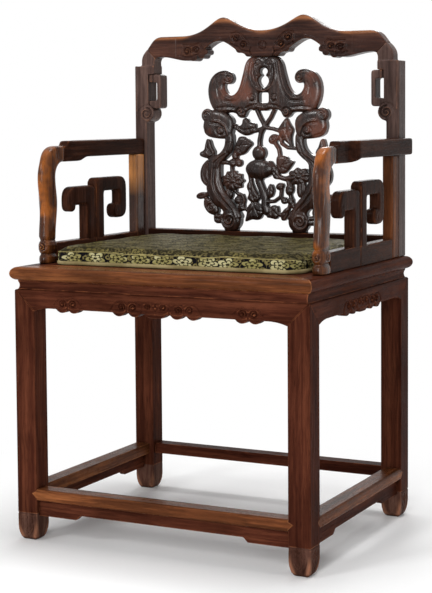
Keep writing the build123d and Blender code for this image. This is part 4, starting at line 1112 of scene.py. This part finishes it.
def from_blossom(f, place, flat, top):
    """Vector from the middle of the nearest blossom, and a number that is each blossom's own."""
    pitch = f.maths("DIVIDE", flat["X"], BLOSSOM_PITCH)
    own = f.node("TexWhiteNoise", {"W": f.maths("FLOOR", pitch)}, noise_dimensions="1D").outputs["Value"]
    slide = f.times(f.maths("SUBTRACT", own, 0.5), 0.010)
    across = f.times(f.maths("SUBTRACT", f.maths("FRACT", pitch), 0.5), BLOSSOM_PITCH)
    across = f.maths("ADD", across, slide)
    lift = f.maths("ADD", f.maths("SUBTRACT", flat["Y"], BORDER_V), f.times(slide, 0.25))
    border = f.node("CombineXYZ", {"X": f.times(across, 0.72), "Y": f.times(lift, 1.32)}).outputs[0]
    cell = f.node("TexVoronoi", {"Vector": place, "Scale": 26.0, "Randomness": 0.62}, voronoi_dimensions="2D")
    return f.mix(top, border, f.vector("SUBTRACT", place, cell.outputs["Position"])), own


def blossom(f, away, own):
    """Share of the way to the petals' rim, the blossom's mask and the lines drawn in it."""
    reach = f.node("VectorMath", {0: away}, operation="LENGTH").outputs["Value"]
    parts = f.node("SeparateXYZ", {0: away}).outputs
    angle = f.maths("ARCTAN2", parts["Y"], parts["X"])
    petal = f.maths("COSINE", f.maths("ADD", f.times(angle, 5.0), f.times(own, 6.3)))
    share = f.maths("DIVIDE", reach, f.maths("ADD", BLOSSOM_RADIUS, f.times(petal, PETAL_DEPTH)))
    inner = f.times(f.step(share, 0.68, 0.61), f.step(share, 0.47, 0.54))
    vein = f.times(f.step(petal, -0.62, -0.9), f.step(share, 0.3, 0.4))
    lines = f.larger(f.larger(inner, vein), f.step(share, 0.24, 0.19))
    return share, f.step(share, 1.0, 0.93), lines


def leaves(f, place, share):
    """Mask of the leaves and tendrils between the blossoms."""
    cell = f.node("TexVoronoi", {"Vector": f.place((1, 1.5, 1), source=place), "Scale": 62.0},
                  voronoi_dimensions="2D").outputs["Distance"]
    shape = f.maths("SUBTRACT", f.step(cell, 0.36, 0.31), f.step(cell, 0.16, 0.11))
    wave = f.maths("ABSOLUTE", f.maths("SUBTRACT", f.noise(place, 85, 1, 0.4, 0.8), 0.5))
    return f.times(f.larger(shape, f.step(wave, 0.028, 0.018)), f.step(share, 1.05, 1.16))


def thread_colours(f, cloth, top):
    """Pale gold, olive gold and the satin ground, each duller on the worn top."""
    wide = f.step(f.noise(cloth, 22, 2), 0.42, 0.6)
    pale = f.mix(top, f.mix(wide, (0.36, 0.32, 0.12, 1), (0.66, 0.62, 0.34, 1)),
                 f.mix(wide, (0.104, 0.083, 0.027, 1), (0.168, 0.138, 0.048, 1)))
    streaks = f.noise(f.place((0.25, 1, 1), source=cloth), 260, 2)
    olive = f.mix(top, f.mix(f.noise(cloth, 90, 2), (0.10, 0.082, 0.024, 1), (0.36, 0.30, 0.12, 1)),
                  f.mix(streaks, (0.058, 0.046, 0.018, 1), (0.150, 0.122, 0.050, 1)))
    ground = f.mix(top, (0.0085, 0.0080, 0.0100, 1), (0.026, 0.022, 0.011, 1))
    return pale, olive, ground


def brocade():
    """Black satin with woven blossoms and scrolls in pale and olive gold thread."""
    f = Finish("brocade")
    cloth = f.node("UVMap", uv_map="cloth").outputs["UV"]
    wander = f.node("TexNoise", {"Vector": cloth, "Scale": 70.0, "Detail": 1.0}).outputs["Color"]
    place = f.vector("ADD", cloth, f.vector("MULTIPLY", wander, (0.004, 0.004, 0)))
    flat = f.node("SeparateXYZ", {0: place}).outputs
    top = f.step(flat["Y"], *TOP_V)
    share, petals, lines = blossom(f, *from_blossom(f, place, flat, top))
    figure = leaves(f, place, share)
    pale, olive, ground = thread_colours(f, cloth, top)
    colour = f.mix(petals, f.mix(figure, ground, olive), pale)
    colour = f.mix(f.times(petals, lines), colour, (0.030, 0.026, 0.013, 1))
    weft = f.node("TexWave", {"Vector": cloth, "Scale": 190.0, "Distortion": 1.2, "Detail": 1.0},
                  bands_direction="Y").outputs["Fac"]
    warp = f.node("TexWave", {"Vector": cloth, "Scale": 320.0, "Distortion": 0.6},
                  bands_direction="X").outputs["Fac"]
    thread = f.times(weft, warp)
    gold = f.larger(figure, petals)
    height = f.maths("ADD", gold, f.times(thread, 0.35))
    f.set(Base_Color=f.shaded(colour, f.step(thread, 0.0, 0.6, 0.62, 1.12)),
          Roughness=f.maths("SUBTRACT", 0.62, f.times(gold, 0.16)),
          Normal=f.bump(height, 0.45 * MM, 0.8), Specular_IOR_Level=0.015)
    return f.material


def cord_cloth(name, dark, light):
    """Bias strip covering the piping: a fine twill with soiled patches."""
    f = Finish(name)
    twill = f.noise(f.place((1, 1, 2.5), turn=(0.5, 0.4, 0.6)), 900, 2, 0.6)
    soil = f.step(f.noise(f.place(), 24, 3), 0.38, 0.62)
    colour = f.mix(f.times(f.maths("ADD", twill, soil), 0.5), (*dark, 1), (*light, 1))
    f.set(Base_Color=colour, Roughness=0.75, Normal=f.bump(twill, 0.3 * MM, 0.7), Specular_IOR_Level=0.08)
    return f.material


def cushion_start():
    """The pad before it is filled: a flat slab with one tighter corner, skinned with even faces."""
    low, high = np.array(CUSHION_LOW) / MM, np.array(CUSHION_HIGH) / MM
    places = [(low[0] - SEAM_OVERLAP[0], low[1] - SEAM_OVERLAP[1]), (high[0], low[1]), (high[0], high[1]),
              (low[0], high[1])]
    outline = bent([(x, y, radius) for (x, y), radius in zip(places, CUSHION_CORNERS)])
    bm = bmesh.new()
    ring = [bm.verts.new((x * MM, y * MM, CUSHION_LOW[2])) for x, y in outline]
    raise_block(bm, bm.faces.new(ring), (0, 0, SLAB_HEIGHT))
    return skinned(from_bmesh(bm, "seat_cushion"), PAD_VOXEL)


def blow_up(piece, most):
    """Fills the pad: cloth under pressure, each point moving no further than the most."""
    rest = points_of(piece.data)
    cloth = piece.modifiers.new("cloth", "CLOTH")
    settings = cloth.settings
    settings.quality = 4
    settings.use_pressure = True
    settings.uniform_pressure_force = PRESSURE
    settings.effector_weights.gravity = 0
    scene = bpy.context.scene
    for step in range(1, FILLING_FRAMES + 1):
        scene.frame_set(step)
    seen = piece.evaluated_get(bpy.context.evaluated_depsgraph_get())
    filled = points_of(seen.data)
    scene.frame_set(1)
    piece.modifiers.clear()
    moved = filled - rest
    far = np.maximum(np.linalg.norm(moved, axis=1), 1e-9)
    set_points(piece.data, rest + moved * np.minimum(1, most / far)[:, None])


def settle(piece):
    """Sits the pad flat on the seat, crowns its top and lets its sides run a little unevenly."""
    co, normals = points_of(piece.data), normals_of(piece.data)
    centre, half = np.array(CUSHION_MIDDLE), np.array(CUSHION_HALF)
    across = np.clip(np.abs((co - centre)[:, :2] / half[:2]), 0, 1)
    crown = (1 - across[:, 0] ** 4) * (1 - across[:, 1] ** 4)
    up = np.clip((co[:, 2] - CUSHION_LOW[2]) / (2 * half[2]), 0, 1)
    co[:, 2] += up * (2.5 * crown + 1.5) * MM
    uneven = np.array([noise.noise(Vector(point) * 17) for point in co])
    co += normals * (uneven * 1.6 * MM * up)[:, None]
    wrinkle = np.array([noise.noise(Vector((x * 60, y * 60, z * 18 + 5))) for x, y, z in co])
    co += normals * (wrinkle * 0.7 * MM)[:, None]
    co[:, 2] = np.maximum(co[:, 2], CUSHION_LOW[2])
    set_points(piece.data, co)


def round_the_edge(x, y):
    """Distance run round the pad's rounded outline, nought at the middle of the front, and the whole."""
    r = CUSHION_CORNER
    a, b = CUSHION_HALF.x - r, CUSHION_HALF.y - r
    x, y = x - CUSHION_MIDDLE.x, y - CUSHION_MIDDLE.y
    cx, cy = np.clip(x, -a, a), np.clip(y, -b, b)
    quarter = math.pi / 2
    turned = (np.arctan2(y - cy, x - cx) + quarter) % (2 * math.pi)
    side = np.round(turned / quarter).astype(int)  # front, right, back, left and front again
    straight = np.choose(side, (cx, a + b + cy, 2 * a + 2 * b - cx, 3 * a + 3 * b - cy, 4 * a + 4 * b + cx))
    whole = 4 * (a + b) + 4 * quarter * r
    return (straight + r * turned + whole / 2) % whole - whole / 2, whole


def lay_cloth(mesh):
    """UV map of the cloth in metres: round the border and up, or straight across the top."""
    layer = mesh.uv_layers.new(name="cloth")
    co = points_of(mesh)
    run, whole = round_the_edge(co[:, 0], co[:, 1])
    for polygon in mesh.polygons:
        border = abs(polygon.normal.z) < 0.62
        first = run[polygon.vertices[0]]
        for loop in polygon.loop_indices:
            vertex = mesh.loops[loop].vertex_index
            x, y, z = co[vertex]
            if border:
                u = run[vertex]
                u += whole * round((first - u) / whole)
                layer.data[loop].uv = (u, z + UV_BORDER)
            else:
                layer.data[loop].uv = (x, y + (UV_TOP if polygon.normal.z > 0 else UV_BELOW))


def rim_points(tree, z, proud, count=150):
    """Points on the pad's side at one height, found by looking in from outside."""
    middle = Vector((CUSHION_MIDDLE.x, CUSHION_MIDDLE.y, z))
    outside, inside = CUSHION_HALF.xy + Vector((0.1, 0.1)), CUSHION_HALF.xy - Vector((0.1, 0.1))
    found = []
    for i in range(count):
        angle = 2 * math.pi * i / count
        ray = Vector((math.cos(angle), math.sin(angle), 0))
        start = ray / max(abs(ray.x) / outside.x, abs(ray.y) / outside.y)
        target = Vector((*[max(min(s, reach), -reach) for s, reach in zip(start, inside)], 0))
        hit, normal, _, _ = tree.ray_cast(middle + start, (target - start).normalized())
        if hit is not None:
            found.append(hit + Vector((normal.x, normal.y, 0)).normalized() * proud)
    return found


def piping(name, points, radius, material):
    """A closed cord of cloth sewn round the pad."""
    curve = bpy.data.curves.new(name, "CURVE")
    curve.dimensions = "3D"
    curve.bevel_depth = radius
    curve.bevel_resolution = 3
    spline = curve.splines.new("POLY")
    spline.points.add(len(points) - 1)
    for point, place in zip(spline.points, points):
        point.co = (*place, 1)
    spline.use_cyclic_u = True
    drawn = link(curve, name)
    mesh = bpy.data.meshes.new_from_object(drawn.evaluated_get(bpy.context.evaluated_depsgraph_get()))
    bpy.data.objects.remove(drawn)
    mesh.shade_smooth()
    dress(link(mesh, name), material, body="cushion")


TOP_PIPING_Z, TOP_PIPING_RADIUS, TOP_PIPING_PROUD = 24 * MM, 1.1 * MM, 0.3 * MM
BOTTOM_PIPING_Z, BOTTOM_PIPING_RADIUS, BOTTOM_PIPING_PROUD = 4 * MM, 3.9 * MM, -0.8 * MM
BOTTOM_RIM_Z = 5 * MM  # heights are above the seat
PIPING_WAVE = 3 * MM


def side_of(pad):
    """The pad's skin as a tree for rays."""
    bm = bmesh.new()
    bm.from_mesh(pad.data)
    tree = BVHTree.FromBMesh(bm)
    bm.free()
    return tree


def make_cushion():
    pad = cushion_start()
    blow_up(pad, MOST_SWELL)
    settle(pad)
    finer = pad.modifiers.new("finer", "SUBSURF")
    finer.levels = finer.render_levels = 1
    applied(pad)
    pad.data.shade_smooth()
    side = side_of(pad)
    lay_cloth(pad.data)
    dress(pad, brocade(), body="cushion", instead=["cushion"])
    seat = CUSHION_LOW[2]
    thin = cord_cloth("gold_piping", (0.085, 0.068, 0.022), (0.42, 0.36, 0.15))
    thick = cord_cloth("olive_piping", (0.15, 0.115, 0.045), (0.40, 0.33, 0.17))
    upper = rim_points(side, seat + TOP_PIPING_Z, TOP_PIPING_PROUD)
    upper = [point + Vector((0, 0, noise.noise(point * 24) * PIPING_WAVE)) for point in upper]
    piping("cushion_piping_top", upper, TOP_PIPING_RADIUS, thin)
    lower = rim_points(side, seat + BOTTOM_RIM_Z, BOTTOM_PIPING_PROUD)
    lower = [Vector((point.x, point.y, seat + BOTTOM_PIPING_Z)) for point in lower]
    piping("cushion_piping_bottom", lower, BOTTOM_PIPING_RADIUS, thick)


make_cushion()


# ---------------------------------------------------------------- room, lamps and camera

WHITE = (1, 1, 1, 1)
FLOOR_RADIUS = 40
FADE = (0.3, 0.82)  # distances between which the floor turns pure white
SKY_LIGHT = 0.26
AIM = (0, 0, 0.6)
LAMPS = {  # place, target, size, watts
    "key": ((0.75, -3.1, 1.05), AIM, (1.2, 1.5), 53),
    "upper_left": ((-1.3, -2.9, 2.2), AIM, (0.7, 0.7), 32),
    "right_strip": ((2.6, -0.1, 1.1), AIM, (0.14, 1.6), 4),
    "top": ((0.1, 0.2, 3.0), (0, 0, 0.5), (1.3, 1.1), 56),
    "rear": ((-0.9, 3.0, 1.9), AIM, (0.9, 0.9), 15),
}
VIEW_PLACE = (1.3113, -2.5874, 0.7782)
VIEW_TURN = (26.891, 3.849, -0.427)  # left, down and tilt, in degrees
VIEW_LENS = 94.03
VIEW_SHIFT = -0.129


def stage_floor():
    """Pale round floor that keeps the shadow near the chair and turns white further off."""
    bm = bmesh.new()
    bmesh.ops.create_circle(bm, cap_ends=True, segments=96, radius=FLOOR_RADIUS)
    floor = from_bmesh(bm, "floor")
    f = Finish("pale_floor")
    pale = f.grey(f.step(f.noise(f.place(), 160, 3), 0.3, 0.7, 0.97, 0.98))
    f.set(Base_Color=pale, Roughness=0.75, Specular_IOR_Level=0.2)
    glow = f.node("Emission", {"Color": WHITE, "Strength": 1.0}).outputs[0]
    away = f.node("VectorMath", {0: f.place()}, operation="LENGTH").outputs["Value"]
    far = f.times(f.step(away, *FADE), f.seen_directly())
    mixed = f.node("MixShader", {0: far, 1: f.shader.outputs[0], 2: glow}).outputs[0]
    f.put(f.tree.nodes["Material Output"].inputs["Surface"], mixed)
    floor.data.materials.append(f.material)


def sky():
    """White to the camera and in reflections, a soft light on everything else."""
    world = bpy.data.worlds.new("studio")
    bpy.context.scene.world = world
    world.use_nodes = True
    world.node_tree.nodes.clear()
    n = Nodes(world.node_tree)
    light = n.node("Background", {"Color": WHITE, "Strength": SKY_LIGHT}).outputs[0]
    white = n.node("Background", {"Color": WHITE, "Strength": 1.0}).outputs[0]
    mixed = n.node("MixShader", {0: n.seen_directly(), 1: light, 2: white}).outputs[0]
    n.node("OutputWorld", {"Surface": mixed})


def lamp(name, place, target, size, power):
    light = bpy.data.lights.new(name, "AREA")
    light.shape = "RECTANGLE"
    light.size, light.size_y = size
    light.energy = power
    made = link(light, name)
    made.location = place
    made.rotation_euler = (Vector(target) - Vector(place)).to_track_quat("-Z", "Y").to_euler()


def view_camera():
    """Stands at the viewer's place, turned left, slightly down and a touch tilted."""
    yaw, pitch, roll = (math.radians(angle) for angle in VIEW_TURN)
    ahead = Vector((-math.sin(yaw) * math.cos(pitch), math.cos(yaw) * math.cos(pitch), -math.sin(pitch)))
    level = Vector((math.cos(yaw), math.sin(yaw), 0))
    upright = level.cross(ahead)
    right = math.cos(roll) * level + math.sin(roll) * upright
    up = -math.sin(roll) * level + math.cos(roll) * upright
    data = bpy.data.cameras.new("view")
    data.sensor_width = 36
    data.lens = VIEW_LENS
    data.shift_y = VIEW_SHIFT
    made = link(data, "view")
    rows = [(*row, place) for row, place in zip(zip(right, up, -ahead), VIEW_PLACE)]
    made.matrix_world = Matrix((*rows, (0, 0, 0, 1)))
    bpy.context.scene.camera = made


stage_floor()
sky()
for name, lamp_settings in LAMPS.items():
    lamp(name, *lamp_settings)
view_camera()
bpy.context.scene.view_settings.view_transform = "Standard"
